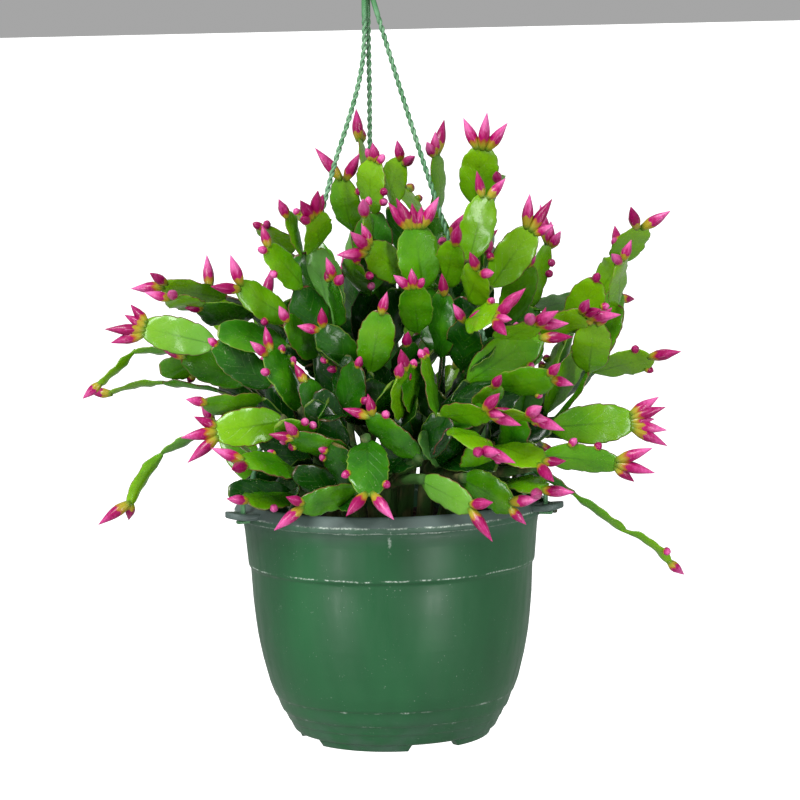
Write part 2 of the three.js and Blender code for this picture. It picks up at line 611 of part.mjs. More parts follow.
// Bends the stems clear of each other, of the hanger's arms and of the pot: joints of blades whose
// middle lines come too close are pushed apart, a little at a time.
function spreadOut(blades, arms) {
  const joints = jointsOf(blades);
  const near = (a, b) => a.from === b.from || a.from === b.to || a.to === b.from || a.to === b.to;
  for (let pass = 0; pass < SPREAD_PASSES; pass++) {
    const push = new Map(joints.map((joint) => [joint, vec(0, 0, 0)]));
    for (let i = 0; i < blades.length; i++) {
      for (let j = i + 1; j < blades.length; j++) {
        const [a, b] = [blades[i], blades[j]];
        if (near(a, b) || a.from.at.distanceTo(b.from.at) > 110) continue;
        const { s, t, gap } = closest(a, b);
        const short = SPREAD_GAP - gap.length();
        if (short <= 0) continue;
        gap.normalize().multiplyScalar(short * 0.2);
        push.get(a.from).addScaledVector(gap, 1 - s);
        push.get(a.to).addScaledVector(gap, s);
        push.get(b.from).addScaledVector(gap, t - 1);
        push.get(b.to).addScaledVector(gap, -t);
      }
      for (const arm of arms) {
        const { s, gap } = closest(blades[i], arm);
        const short = ARM_GAP - gap.length();
        if (short <= 0) continue;
        gap.normalize().multiplyScalar(short * 0.4);
        push.get(blades[i].from).addScaledVector(gap, 1 - s);
        push.get(blades[i].to).addScaledVector(gap, s);
      }
    }
    for (const joint of joints) {
      if (!joint.fixed) joint.at.add(push.get(joint).clampLength(0, 3));
      const overPot = Math.hypot(joint.at.x, joint.at.y) < FLANGE_RADIUS + 12;
      if (overPot) joint.at.z = Math.max(joint.at.z, SHOULDER_HEIGHT + 5);
    }
  }
}

// Gives each blade its width, thickness and face from its place on the stem.
function dress(trunk, key) {
  const depth = new Map([[trunk.joints[0], 0]]);
  const bearing = new Set(trunk.blades.map((blade) => blade.from));
  const waiting = [...trunk.blades];
  while (waiting.length) {
    const blade = waiting.find((one) => depth.has(one.from));
    waiting.splice(waiting.indexOf(blade), 1);
    blade.depth = depth.get(blade.from);
    depth.set(blade.to, blade.depth + 1);
  }
  trunk.blades.forEach((blade, i) => {
    const thing = 100 * key + i;
    const axis = blade.to.at.clone().sub(blade.from.at).normalize();
    blade.thing = thing;
    blade.end = !bearing.has(blade.to);
    blade.thickness = BLADE_THICKNESS + (blade.depth === 0 ? 3.4 : blade.depth === 1 ? 1.2 : 0);
    const broad = blade.depth === 0 ? 0.4 : blade.depth === 1 ? 0.8 : 1.0;
    blade.width ??= BLADE_WIDTH * (broad + 0.1 * chance(thing, 41));
    if (blade.depth === 0) blade.width = Math.min(blade.width, BLADE_WIDTH * 0.5);
    const out = blade.from.at.clone().sub(DOME_MIDDLE).normalize().add(vec(0, 0, 0.3));
    blade.face = blade.face ? square(blade.face, axis)
      : square(out, axis).applyAxisAngle(axis, (chance(thing, 42) - 0.5) * 1.3);
    blade.bow = (chance(thing, 43) - 0.35) * 5;
    blade.cup = (chance(thing, 44) - 0.3) * 2.4;
    blade.shift = vec(0, 0, 0);
  });
  for (const bearer of trunk.blades) {
    const frame = frameOf(bearer);
    const lean = (blade) => blade.to.at.clone().sub(blade.from.at).dot(frame.across);
    const young = trunk.blades.filter((blade) => blade.from === bearer.to).sort((a, b) => lean(a) - lean(b));
    young.forEach((blade, i) => {
      const gaps = Math.max(1, young.length - 1);
      const step = Math.min(SIBLING_GAP / bearer.width, SIBLING_REACH / gaps);
      const side = step * (2 * i - (young.length - 1));
      blade.shift.copy(onBlade(bearer, frame, 1, side)).sub(bearer.to.at);
    });
  }
}

// ---------------------------------------------------------------- blades and buds

// Half of a blade's outline, past its pointed base: shares of its length and of its half width.
const END_OUTLINE = [[0.27, 0.86], [0.68, 0.98], [1, 0.42]];
const INNER_OUTLINE = [[0.42, 1], [1, 0.42]];
const RIDGE = 0.5;
const SLIM = 18; // width up to which a blade at an end has a plain outline too

// A blade's own axes: along it, across it and out of its face.
function frameOf(blade) {
  const root = blade.from.at.clone().add(blade.shift);
  const along = blade.to.at.clone().sub(root);
  const length = along.length();
  along.normalize();
  const face = square(blade.face, along);
  return { root, length, along, face, across: along.clone().cross(face) };
}

// A point on a blade's middle surface: a share of its length, and of its half width.
function onBlade(blade, frame, share, side) {
  const rise = blade.bow * 4 * share * (1 - share) + blade.cup * side * side;
  return frame.root.clone()
    .addScaledVector(frame.along, frame.length * share)
    .addScaledVector(frame.across, (blade.width / 2) * side)
    .addScaledVector(frame.face, rise);
}

// The oldest joints, next to a trunk, have turned into plain woody bars.
function woodySolid(blade, extra) {
  const tip = blade.to.at.clone().lerp(blade.from.at, -0.06);
  return bar(blade.from.at, tip, WOOD_RADIUS[0] + extra, WOOD_RADIUS[1] + extra, WOOD_SIDES);
}

// A blade is a lens: both faces share its outline, and each rises to one point.
// Its base is sunk in the tip of the blade that bears it.
function bladeSolid(blade, extra) {
  const frame = frameOf(blade);
  if (blade.depth === 0 && !blade.end) return woodySolid(blade, extra);
  const outline = blade.end && blade.width > SLIM ? END_OUTLINE : INNER_OUTLINE;
  const grown = { ...blade, width: blade.width + 2 * extra };
  const points = [];
  const put = (point) => points.push(point.x, point.y, point.z) / 3 - 1;
  const bases = [1, -1].map((side) => {
    const base = onBlade(grown, frame, -SINK / frame.length, 0);
    return put(base.addScaledVector(frame.face, side * (NECK / 2 + extra)));
  });
  const rims = [1, -1].map((side) => {
    return outline.map(([share, half]) => put(onBlade(grown, frame, share, side * half)));
  });
  const peaks = [1, -1].map((side) => {
    const height = side * (blade.thickness / 2 + extra);
    return put(onBlade(grown, frame, RIDGE, 0).addScaledVector(frame.face, height));
  });
  const faces = [];
  const addFace = (flip, a, b, c) => faces.push(...(flip ? [a, c, b] : [a, b, c]));
  peaks.forEach((peak, under) => {
    rims.forEach((rim, mirrored) => {
      const flip = under !== mirrored;
      [bases[under], ...rim.slice(0, -1)].forEach((point, i) => addFace(flip, point, rim[i], peak));
    });
    addFace(under === 1, peak, rims[0].at(-1), rims[1].at(-1));
    addFace(under === 1, rims[under][0], bases[0], bases[1]);
  });
  const geometry = new THREE.BufferGeometry();
  geometry.setAttribute("position", new THREE.Float32BufferAttribute(points, 3));
  geometry.setIndex(faces);
  return solid(geometry);
}

// A bud is a spindle whose root is sunk in the tip of its blade. Buds too small to matter are left out,
// and so is every second one of a cluster of three or more.
function budSolids(blade, extra) {
  const frame = frameOf(blade);
  const count = blade.buds.length;
  return [...blade.buds].flatMap((size, i) => {
    if (size === "S" || (count > 2 && i % 2 === 1)) return [];
    const [usual, radius] = BUD[size];
    const length = usual * (0.85 + 0.25 * chance(blade.thing, 80 + i));
    const side = count === 1 ? (chance(blade.thing, 51) - 0.5) * 0.3 : (2 * i) / (count - 1) - 1;
    const fan = side * (0.5 + 0.2 * chance(blade.thing, 60 + i));
    const nod = (chance(blade.thing, 70 + i) - 0.4) * 0.5;
    const way = frame.along.clone().addScaledVector(frame.across, fan);
    way.addScaledVector(frame.face, nod).normalize();
    const root = onBlade(blade, frame, 1, side * Math.min(0.36, 0.1 * count));
    root.addScaledVector(way, -BUD_SINK);
    const belly = [radius + extra, BUD_SINK + length * 0.34];
    const spindle = lathe([[0, -extra], belly, [0, BUD_SINK + length + extra]], BUD_SIDES);
    return solid(aimed(spindle, root, root.clone().add(way)));
  });
}

// A trunk rises from the soil to its crotch.
function trunkSolid(trunk, extra) {
  const radius = TRUNK_RADIUS + extra;
  return bar(trunk.root, trunk.joints[0].at, radius, radius * 0.85, TRUNK_SIDES);
}

function stemParts(trunk, extra) {
  const parts = [trunkSolid(trunk, extra)];
  for (const blade of trunk.blades) parts.push(bladeSolid(blade, extra), ...budSolids(blade, extra));
  return parts;
}

// Does the box of one solid reach into another's?
function boxesMeet(a, b) {
  return [0, 1, 2].every((axis) => a.min[axis] < b.max[axis] && b.min[axis] < a.max[axis]);
}

// The leafy stems, each cut clear of the hanger's arms, of the pot and of the stems before it.
function stemSolids(stems, others) {
  const taken = others.map((body) => ({ body, box: body.boundingBox() }));
  return stems.map((stem) => {
    let body = joined(stemParts(stem, 0));
    const box = body.boundingBox();
    for (const other of taken) {
      const meets = boxesMeet(other.box, box) && body.intersect(other.body).volume() > 0.001;
      if (meets) body = body.subtract(other.body);
    }
    for (const part of stemParts(stem, GAP)) taken.push({ body: part, box: part.boundingBox() });
    return largest(body);
  });
}

// ---------------------------------------------------------------- the whole basket

// The arms as straight lines, for the stems to keep clear of.
function armLines(name) {
  const points = armPoints(name);
  return points.slice(1).map((point, i) => ({ from: { at: points[i] }, to: { at: point } }));
}

// The room that the pot's flange, ears and soil take up, with a clearance round it.
function potRoom() {
  const rim = FLANGE_RADIUS + GAP;
  const top = SHOULDER_HEIGHT + GAP;
  const [inside, mouth] = [50, 90];
  const [low, soil] = [SOIL_TOP - 39, SOIL_TOP + 1];
  const edge = [[rim, low], [rim, POT_HEIGHT + GAP], [SHOULDER_RADIUS + GAP, top], [mouth, top]];
  const ring = [[inside, low], ...edge, [mouth, soil], [inside, soil]];
  const reach = EAR_REACH + GAP - mouth;
  const ears = Object.values(EAR_AT).map((azimuth) => {
    const middle = [mouth + reach / 2, 0, EAR_LOW + FLANGE_THICKNESS / 2];
    return block(reach, EAR_WIDTH + 2 * GAP, FLANGE_THICKNESS + 2 * GAP, middle, azimuth);
  });
  return joined([turned([...ring, ring[0]], POT_SIDES), ...ears]);
}

// Every stem of the plant, laid out, bent clear and dressed.
function plant() {
  const stems = layout();
  for (const stem of stems) stem.joints[0].fixed = true;
  spreadOut(stems.flatMap((stem) => stem.blades), ARM_NAMES.flatMap(armLines));
  stems.forEach(dress);
  return stems;
}

function finish(color, roughness) {
  return new THREE.MeshStandardMaterial({ color, roughness, metalness: 0 });
}

const ARM_NAMES = Object.keys(EAR_AT);
const stems = plant();
const basket = new THREE.Group();
basket.add(piece("pot", potSolid(), finish(0x2e6b42, 0.35)));
basket.add(piece("soil", soilSolid(stems.map((stem) => trunkSolid(stem, GAP))), finish(0x1e1712, 0.95)));
basket.add(piece("hanger_hook", hookSolid(), finish(0x3f8a55, 0.4)));
for (const name of ARM_NAMES) {
  basket.add(piece(`hanger_arm_${name}`, armSolid(name, 0), finish(0x8fb596, 0.4)));
}
const others = [...ARM_NAMES.map((name) => armSolid(name, GAP)), potRoom()];
stemSolids(stems, others).forEach((body, i) => {
  const number = String(i + 1).padStart(2, "0");
  basket.add(piece(`leafy_stem_${number}`, body, finish(0x5f9e2c, 0.45)));
});
basket.position.copy(HANG_POINT).negate();

const group = new THREE.Group();
group.add(basket);
export default group;
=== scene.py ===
"""A holiday cactus in bud in a hanging nursery pot: its fine surfaces, finishes, light and camera.

Lengths are in millimetres from the pot's base, as in the part's source, and put() brings them into
the frame in metres. The plant is laid out by the same rule as the part's own stems.
"""

import json
import math

import bpy
import numpy as np
from mathutils import Matrix, Vector

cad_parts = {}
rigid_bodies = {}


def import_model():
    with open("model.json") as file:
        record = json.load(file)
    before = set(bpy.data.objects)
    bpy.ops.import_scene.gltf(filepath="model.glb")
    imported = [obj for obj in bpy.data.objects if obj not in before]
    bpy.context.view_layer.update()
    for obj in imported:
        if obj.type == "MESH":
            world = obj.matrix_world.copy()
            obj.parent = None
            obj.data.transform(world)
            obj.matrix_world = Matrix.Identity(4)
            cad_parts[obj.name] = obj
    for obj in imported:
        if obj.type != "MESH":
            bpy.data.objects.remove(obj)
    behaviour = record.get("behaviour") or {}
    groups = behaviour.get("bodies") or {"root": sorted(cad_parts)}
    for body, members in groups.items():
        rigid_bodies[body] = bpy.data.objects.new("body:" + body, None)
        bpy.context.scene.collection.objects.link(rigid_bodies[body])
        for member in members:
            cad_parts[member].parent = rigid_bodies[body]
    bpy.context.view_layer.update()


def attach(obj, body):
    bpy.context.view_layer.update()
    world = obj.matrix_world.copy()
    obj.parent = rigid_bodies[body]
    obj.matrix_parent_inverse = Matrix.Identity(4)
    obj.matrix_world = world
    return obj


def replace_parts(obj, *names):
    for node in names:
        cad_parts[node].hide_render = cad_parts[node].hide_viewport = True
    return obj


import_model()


def vec(x, y, z):
    """A point or a direction."""
    return np.array([x, y, z], float)


# ---------------------------------------------------------------- driving dimensions

POT_HEIGHT, SHOULDER_HEIGHT = 151.0, 157.0
POT_FLOOR = 7.5
FOOT_HEIGHT = 4.5
FLANGE_RADIUS = 101.5
FLANGE_THICKNESS = 4.0
FOOT_OUTER, FOOT_INNER = 61.7, 56.0
FOOT_NOTCH = 28.0
FOOT_NOTCH_AT = (-66, 24, 114, 204)
DRAIN_RADIUS, DRAIN_RING = 4.0, 44.0
EAR_AT = {"left": -152, "right": -21, "back": 98}
EAR_REACH, EAR_WIDTH = 118.0, 20.0
SLOT_LENGTH, SLOT_WIDTH = 4.2, 7.0
SOIL_TOP, SOIL_CROWN = 139.0, 62.0
GAP = 0.3

COLLAR_BOTTOM = vec(-7, 0, 480)
COLLAR_HEIGHT, COLLAR_RADIUS = 24.0, 6.5
HOOK_RADIUS, HOOK_BAR, HOOK_SHANK = 13.0, 5.0, 16.0
ARM_DIAMETER = 3.6
ARM_SPREAD = 2.9
ARM_WAIST = {"left": -34, "right": -4, "back": -60}
ARM_BOW = {"left": 0.0, "right": -4.0, "back": -3.0}
CLIP_WIDTH, CLIP_THICKNESS, CLIP_RISE = 5.0, 2.2, 24.0
CLIP_RADIUS, CLIP_INNER = 106.5, 92.0

BLADE_LENGTH, BLADE_WIDTH, BLADE_THICKNESS = 46.0, 26.0, 2.6
SINK = 2.4
SIBLING_GAP, SIBLING_REACH = 4.2, 0.3
BUD = {"L": (23.0, 3.6), "M": (15.0, 3.1), "S": (6.5, 2.4)}
BUD_SINK = 1.8
WOOD_RADIUS = (4.2, 3.2)
TRUNK_RADIUS, TRUNK_ROOT = 5.0, 24.0
OUTER_STEMS, INNER_STEMS = 10, 4

SIGHT_DOWN = math.radians(8.5)
SIGHT_DISTANCE = 2200.0
SIGHT_LEAN = math.radians(1.3)

# Each front shoot's last blade: its joint right of and up from the rim's middle, its tip, the width
# seen, how far forward its joint is, and the sizes of its buds from left to right.
FRONT_SHOOTS = [
    # top
    [55, 195, 60, 233, 26, 0, "LLL"], [51, 159, 62, 201, 23, 62, "MM"], [65, 142, 92, 179, 25, 40, "LLM"],
    [94, 128, 104, 170, 12, -12, "LMM"], [30, 187, 29, 229, 11, -8, "MML"], [1, 194, 8, 224, 17, -6, "MM"],
    [-11, 190, -10, 225, 18, 34, "SMS"], [-16, 198, -20, 238, 8, -44, "LM"],
    [-23, 177, -31, 213, 20, 8, "LL"], [-12, 172, -17, 189, 12, 44, "L"], [66, 196, 70, 211, 8, -10, "M"],
    [60, 150, 63, 164, 8, -8, "L"], [28, 166, 37, 173, 8, -6, "LM"],
    # upper left
    [-52, 165, -51, 188, 16, 62, "MLLM"], [-66, 163, -83, 181, 14, -14, "SS"],
    [-55, 142, -81, 167, 18, 62, "SM"], [-57, 163, -68, 188, 8, 60, "M"],
    [-50, 170, -58, 186, 8, -46, "M"],
    # middle, upper
    [21, 140, 16, 181, 28, 66, "LLMML"], [10, 148, -15, 167, 23, 50, "LLM"],
    [18, 190, 10, 206, 12, -30, "MM"], [36, 142, 42, 170, 20, 60, "L"], [51, 133, 58, 152, 22, 74, "MM"],
    [-16, 139, -22, 158, 14, 34, "M"],
    # middle
    [-14, 87, -6, 125, 24, 84, "M"], [18, 112, 15, 142, 22, 78, "MMS"], [34, 98, 35, 137, 17, 64, "M"],
    [48, 86, 50, 119, 23, 68, "MM"], [50, 80, 97, 111, 28, 88, "ML"], [71, 74, 105, 83, 19, 88, "MM"],
    [98, 110, 127, 124, 16, 44, "MML"], [16, 60, 8, 86, 14, 100, "L"], [2, 52, 2, 74, 19, 86, ""],
    [7, 83, 10, 104, 19, 52, "M"], [-33, 56, -21, 90, 21, 82, "S"], [-20, 84, -46, 115, 22, 74, "MM"],
    [-40, 116, -36, 146, 14, 56, "MM"], [42, 60, 22, 96, 9, 96, "SS"], [56, 58, 66, 79, 16, 80, "M"],
    [32, 46, 62, 58, 14, 92, "L"], [9, 66, 5, 86, 13, 104, "M"],
    [2, 98, 4, 140, 20, 26, ""], [76, 118, 90, 156, 22, 6, "M"],
    [-8, 118, -5, 160, 22, 10, ""], [-8, 58, -4, 100, 20, 20, ""], [84, 48, 90, 86, 20, 10, ""],
    # buds to the right of the middle, on short shoots
    [70, 106, 94, 118, 14, 80, "LLL"], [46, 112, 70, 123, 15, 92, "LLML"], [34, 56, 64, 60, 15, 108, "LML"],
    [68, 50, 92, 57, 12, 108, "LML"], [40, 50, 60, 35, 13, 114, "LLM"],
    # right
    [129, 86, 133, 118, 26, 34, "MM"], [119, 114, 134, 146, 25, 8, "S"],
    [146, 140, 148, 170, 9, -22, "M"], [150, 157, 163, 181, 21, -12, "LL"],
    [148, 130, 151, 159, 13, 8, "MM"], [131, 132, 150, 134, 12, -34, "M"],
    [130, 88, 170, 96, 16, -6, "L"], [101, 62, 124, 99, 16, 12, "S"],
    [104, 50, 158, 54, 26, 58, "LLMLL"], [100, 32, 148, 26, 18, 76, "LLM"],
    [66, 34, 99, 26, 16, 100, "ML"], [50, 18, 79, -1, 20, 98, "LM"], [20, 16, 53, -2, 18, 104, "LL"],
    [77, 14, 98, 8, 14, 86, "LL"],
    # left
    [-68, 103, -112, 113, 20, 66, ""], [-112, 112, -161, 115, 24, 58, "LLMM"],
    [-66, 120, -99, 142, 20, 66, "LL"], [-107, 135, -148, 143, 14, 6, "LM"],
    [-124, 128, -143, 135, 11, 30, "MM"], [-89, 123, -124, 128, 15, 16, "M"],
    [-92, 80, -135, 96, 22, 30, "M"], [-78, 77, -114, 104, 22, 66, "S"], [-84, 68, -121, 66, 14, 72, "M"],
    [-72, 52, -114, 47, 25, 82, "LLM"], [-63, 22, -96, 27, 15, 86, "LL"], [-23, 9, -58, -1, 16, 98, "LM"],
    [-63, 6, -94, 2, 12, 72, "M"], [-46, 98, -68, 120, 18, 66, "M"], [-58, 61, -80, 99, 18, 74, "MM"],
    [-32, 38, -56, 80, 20, 88, "M"], [-29, 30, -63, 44, 15, 98, "MM"], [-46, 44, -72, 52, 15, 88, ""],
    [16, 36, -12, 62, 17, 94, "MM"], [-13, 40, -14, 6, 27, 108, "LL"],
    [-108, 94, -150, 88, 15, 22, ""],
    # behind the front blades, low down
    [30, 30, 34, 62, 22, 84, ""], [-2, 22, 4, 54, 20, 80, ""], [52, 12, 60, 44, 22, 84, ""],
    [-26, 8, -34, 42, 22, 84, ""], [74, 30, 84, 58, 20, 76, ""],
]

# Slim young shoots that hang past the rest: the joints from the inner one out, then the buds.
TRAILING_SHOOTS = [
    [[91, 25, 64], [119, 7, 50], [152, -17, 34], [182, -38, 20], "M"],
    [[-118, 48, 30], [-149, 33, 24], [-170, 0, 16], "LM"],
    [[-134, 98, 26], [-168, 99, 26], [-190, 78, 26], "M"],
    [[-112, 74, 18], [-148, 79, 14], [-183, 72, 8], "M"],
]
TRAILING_WIDTH = 12.0

DOME_REACH = vec(168, 158, 218)
DOME_MIDDLE = vec(0, 0, SOIL_TOP + 22)
OUTER_DOME = {"shoots": 120, "first": 0, "low": -0.1, "high": 0.95, "share": 1.0, "spacing": 43.0,
              "front": -24.0, "side": 118.0}
INNER_DOME = {"shoots": 4, "first": 300, "low": -0.2, "high": 0.75, "share": 0.62, "spacing": 34.0,
              "front": 110.0, "side": 118.0}
LOW_SIDE, SIDE_SLOPE = 78.0, 260.0
BUD_SETS = ("LM", "ML", "LL", "M", "LML", "ML", "M", "L", "MM", "L")
SPREAD_PASSES, SPREAD_GAP, ARM_GAP = 40, 10.0, 11.0

HOOK_BASE = COLLAR_BOTTOM + vec(0, 0, COLLAR_HEIGHT)
HOOK_CENTRE = HOOK_BASE + vec(0, 0, HOOK_SHANK + HOOK_RADIUS)
HANG_POINT = HOOK_CENTRE + vec(0, 0, HOOK_RADIUS - HOOK_BAR / 2)


def put(points):
    """Points in millimetres from the pot's base, moved to the hanging point and into metres."""
    return (np.asarray(points) - HANG_POINT) / 1000


# ---------------------------------------------------------------- small sums


def unit(v):
    return v / np.linalg.norm(v)


def square(direction, axis):
    """The part of a direction that is square to an axis, as a unit vector."""
    return unit(direction - direction.dot(axis) * axis)


def rolled(v, axis, angle):
    """A vector turned about an axis: v cos a + (axis x v) sin a + axis (axis . v)(1 - cos a)."""
    c, s = math.cos(angle), math.sin(angle)
    return v * c + np.cross(axis, v) * s + axis * axis.dot(v) * (1 - c)


def chance(thing, purpose):
    """A repeatable number from 0 to 1 for a thing and a purpose, by mixing the bits of both."""
    mask = 0xFFFFFFFF
    mix = (((thing + 1) * 2654435761) & mask) ^ (((purpose + 1) * 2246822519) & mask)
    mix = ((mix ^ (mix >> 15)) * 3266489917) & mask
    mix = ((mix ^ (mix >> 13)) * 668265263) & mask
    return (mix ^ (mix >> 16)) / 4294967296


def smooth_through(points, x):
    """A curve through (x, y) points: between two of them a cubic whose slope at each is that of
    the chord between its neighbours."""
    xs, ys = np.array(points, float).T
    slope = np.gradient(ys, xs)
    i = np.clip(np.searchsorted(xs, x, side="right") - 1, 0, len(xs) - 2)
    span = xs[i + 1] - xs[i]
    t = (x - xs[i]) / span
    start = ys[i] * (1 + 2 * t) * (1 - t) ** 2 + slope[i] * span * t * (1 - t) ** 2
    end = ys[i + 1] * t * t * (3 - 2 * t) + slope[i + 1] * span * t * t * (t - 1)
    return start + end


# ---------------------------------------------------------------- the plant's layout

TO_FRONT = vec(0, -math.cos(SIGHT_DOWN), math.sin(SIGHT_DOWN))
UP_THE_SIGHT = vec(0, math.sin(SIGHT_DOWN), math.cos(SIGHT_DOWN))
RIM_MIDDLE = vec(0, 0, POT_HEIGHT)


class Joint:
    """A place on a stem where blades meet."""

    def __init__(self, at, fixed=False):
        self.at, self.fixed, self.children = at, fixed, 0


class Blade:
    """A blade from one joint to the next. Its width and face may be left to dress()."""

    def __init__(self, start, end, buds="", width=None, face=None):
        self.start, self.end, self.buds, self.width, self.face = start, end, buds, width, face
        self.shift = vec(0, 0, 0)


class Shoot:
    """The last blade of a stem, before it's known which trunk it grows from."""

    def __init__(self, base, tip, width, face, buds):
        self.base, self.tip, self.width, self.face, self.buds = base, tip, width, face, buds
        self.bearer = None


class Trunk:
    """A stem's trunk: its root in the soil, its crotch, and the joints and blades that it bears."""

    def __init__(self, root, crotch, reach):
        self.root, self.crotch, self.reach = root, crotch, unit(reach)
        self.joints, self.blades = [Joint(crotch.copy(), fixed=True)], []


def place(right, up, near):
    """A point of the front elevation in space: right and up are scaled by 1 - near / distance."""
    shrink = 1 - near / SIGHT_DISTANCE
    x = (right * math.cos(SIGHT_LEAN) + up * math.sin(SIGHT_LEAN)) * shrink
    y = (up * math.cos(SIGHT_LEAN) - right * math.sin(SIGHT_LEAN)) * shrink
    return vec(x, 0, POT_HEIGHT) + y * UP_THE_SIGHT + near * TO_FRONT


def front_shoot(row, index):
    """A shoot of the list leans forward by sqrt(length^2 - flat^2) and turns on its own axis by
    acos(seen / width)."""
    right, up, tip_right, tip_up, seen, near, buds = row
    flat = math.hypot(tip_right - right, tip_up - up)
    length = max(flat, BLADE_LENGTH * (0.92 + 0.14 * chance(index, 1)))
    lean = math.sqrt(length * length - flat * flat) * (-0.5 if near < -20 else 0.8)
    base, tip = place(right, up, near), place(tip_right, tip_up, near + lean)
    axis = unit(tip - base)
    width = max(seen, BLADE_WIDTH * (0.8 + 0.2 * chance(index, 2)))
    roll = math.acos(min(1, seen / width)) * (-1 if chance(index, 3) < 0.5 else 1)
    return Shoot(base, tip, width, rolled(square(TO_FRONT, axis), axis, roll), buds)


def trailing_shoots():
    """Slim shoots, each blade growing from the one before it in its row."""
    shoots = []
    for row in TRAILING_SHOOTS:
        joints = [place(*joint) for joint in row[:-1]]
        before = None
        for i, (base, tip) in enumerate(zip(joints, joints[1:])):
            face = square(vec(0.2, 0.4, 1), unit(tip - base))
            buds = row[-1] if i == len(joints) - 2 else ""
            young = Shoot(base, tip, TRAILING_WIDTH, face, buds)
            young.bearer = before
            before = young
            shoots.append(young)
    return shoots


def dome_shoots(others, dome):
    """Shoots on a golden-angle spiral over a dome, wherever no other tip is near. Those of the
    inner dome bear no buds."""
    shoots = []
    for i in range(dome["first"], dome["first"] + dome["shoots"]):
        climb = (i - dome["first"] + 0.5) / dome["shoots"]
        height = dome["low"] + (dome["high"] - dome["low"]) * climb
        turn = i * math.radians(137.508) + 0.5 * chance(i, 11)
        level = math.sqrt(max(0, 1 - height * height))
        reach = 0.86 + 0.2 * chance(i, 12)
        way = vec(level * math.cos(turn), level * math.sin(turn), height)
        tip = DOME_MIDDLE + way * DOME_REACH * reach * dome["share"]
        side = min(dome["side"], LOW_SIDE + SIDE_SLOPE * max(0, height))
        tip[0] = max(-side, min(side, tip[0]))
        rise = square(vec(0, 0, -1 if height < 0.12 else 1), way)
        sway = vec(chance(i, 13) - 0.5, chance(i, 14) - 0.5, chance(i, 15) - 0.5)
        axis = unit(way + (0.4 + 0.7 * chance(i, 10)) * rise + 0.9 * sway)
        base = tip - BLADE_LENGTH * (0.96 + 0.18 * chance(i, 16)) * axis
        near = tip.dot(TO_FRONT) - POT_HEIGHT * TO_FRONT[2]
        if near > dome["front"]:
            continue
        if any(np.linalg.norm(one.tip - tip) < dome["spacing"] for one in others + shoots):
            continue
        face = rolled(square(way + vec(0, 0, 0.15), axis), axis, (chance(i, 17) - 0.5) * 1.4)
        width = BLADE_WIDTH * (0.88 + 0.24 * chance(i, 18))
        buds = "" if dome is INNER_DOME else BUD_SETS[int(10 * chance(i, 19))]
        shoots.append(Shoot(base, tip, width, face, buds))
    return shoots


def find_bearers(shoots):
    """A shoot whose joint is at another's tip grows from it."""
    for young in shoots:
        if young.bearer:
            continue
        near = (one for one in shoots if one is not young and np.linalg.norm(one.tip - young.base) < 13)
        old = next(near, None)
        if old and old.bearer is not young:
            young.bearer, young.base = old, old.tip


def trunks():
    """Two rings of trunks round the pot's axis."""
    made = []
    for i in range(OUTER_STEMS + INNER_STEMS):
        inner = i >= OUTER_STEMS
        turn = 50 + 360 * (i - OUTER_STEMS) / INNER_STEMS if inner else 14 + 360 * i / OUTER_STEMS
        c, s = math.cos(math.radians(turn)), math.sin(math.radians(turn))
        ring = 10 if inner else 27 + 6 * chance(i, 31)
        crotch_ring, up = (20, 56) if inner else (44, 30 + 8 * chance(i, 32))
        reach = vec(0.42 * c, 0.42 * s, 1) if inner else vec(c, s, 0.42)
        root = vec(ring * c, ring * s, SOIL_TOP - TRUNK_ROOT)
        made.append(Trunk(root, vec(crotch_ring * c, crotch_ring * s, SOIL_TOP + up), reach))
    return made


def grow_back(joint, heading, trunk):
    """Joins a shoot to its trunk one blade at a time, back along 0.4 of its heading and 0.6 of the
    way from the crotch, until a joint that is already there can bear it."""
    for _ in range(6):
        home = joint.at - trunk.crotch
        left = np.linalg.norm(home)
        if left < BLADE_LENGTH * 1.5:
            trunk.blades.append(Blade(trunk.joints[0], joint))
            return
        wanted = joint.at - BLADE_LENGTH * 0.95 * unit(0.4 * heading + 0.6 * unit(home))
        bearer, nearest = None, 34
        for other in trunk.joints[1:]:
            span = np.linalg.norm(joint.at - other.at)
            nearer = np.linalg.norm(other.at - trunk.crotch) < left - BLADE_LENGTH * 0.4
            if not nearer or not BLADE_LENGTH * 0.65 < span < BLADE_LENGTH * 1.4 or other.children > 3:
                continue
            if np.linalg.norm(other.at - wanted) < nearest:
                bearer, nearest = other, np.linalg.norm(other.at - wanted)
        start = bearer or Joint(wanted)
        start.children += 1
        trunk.blades.append(Blade(start, joint))
        if bearer:
            return
        trunk.joints.append(start)
        heading, joint = unit(joint.at - wanted), start


def layout():
    """Every stem: its trunk, its shoots and what joins them."""
    front = [front_shoot(row, i) for i, row in enumerate(FRONT_SHOOTS)] + trailing_shoots()
    shoots = front + dome_shoots(front, OUTER_DOME)
    shoots += dome_shoots(shoots, INNER_DOME)
    find_bearers(shoots)
    made = trunks()
    rooted = [one for one in shoots if not one.bearer]
    for one in rooted:
        way = unit(one.base - DOME_MIDDLE)
        one.trunk = max(made, key=lambda trunk: trunk.reach.dot(way))
    rooted.sort(key=lambda one: np.linalg.norm(one.base - one.trunk.crotch))

    def add(one, start, trunk):
        end = Joint(one.tip.copy())
        start.children += 1
        trunk.blades.append(Blade(start, end, one.buds, one.width, one.face))
        for young in shoots:
            if young.bearer is one:
                add(young, end, trunk)

    for one in rooted:
        base = Joint(one.base.copy())
        one.trunk.joints.append(base)
        grow_back(base, unit(one.tip - one.base), one.trunk)
        add(one, base, one.trunk)
    return made


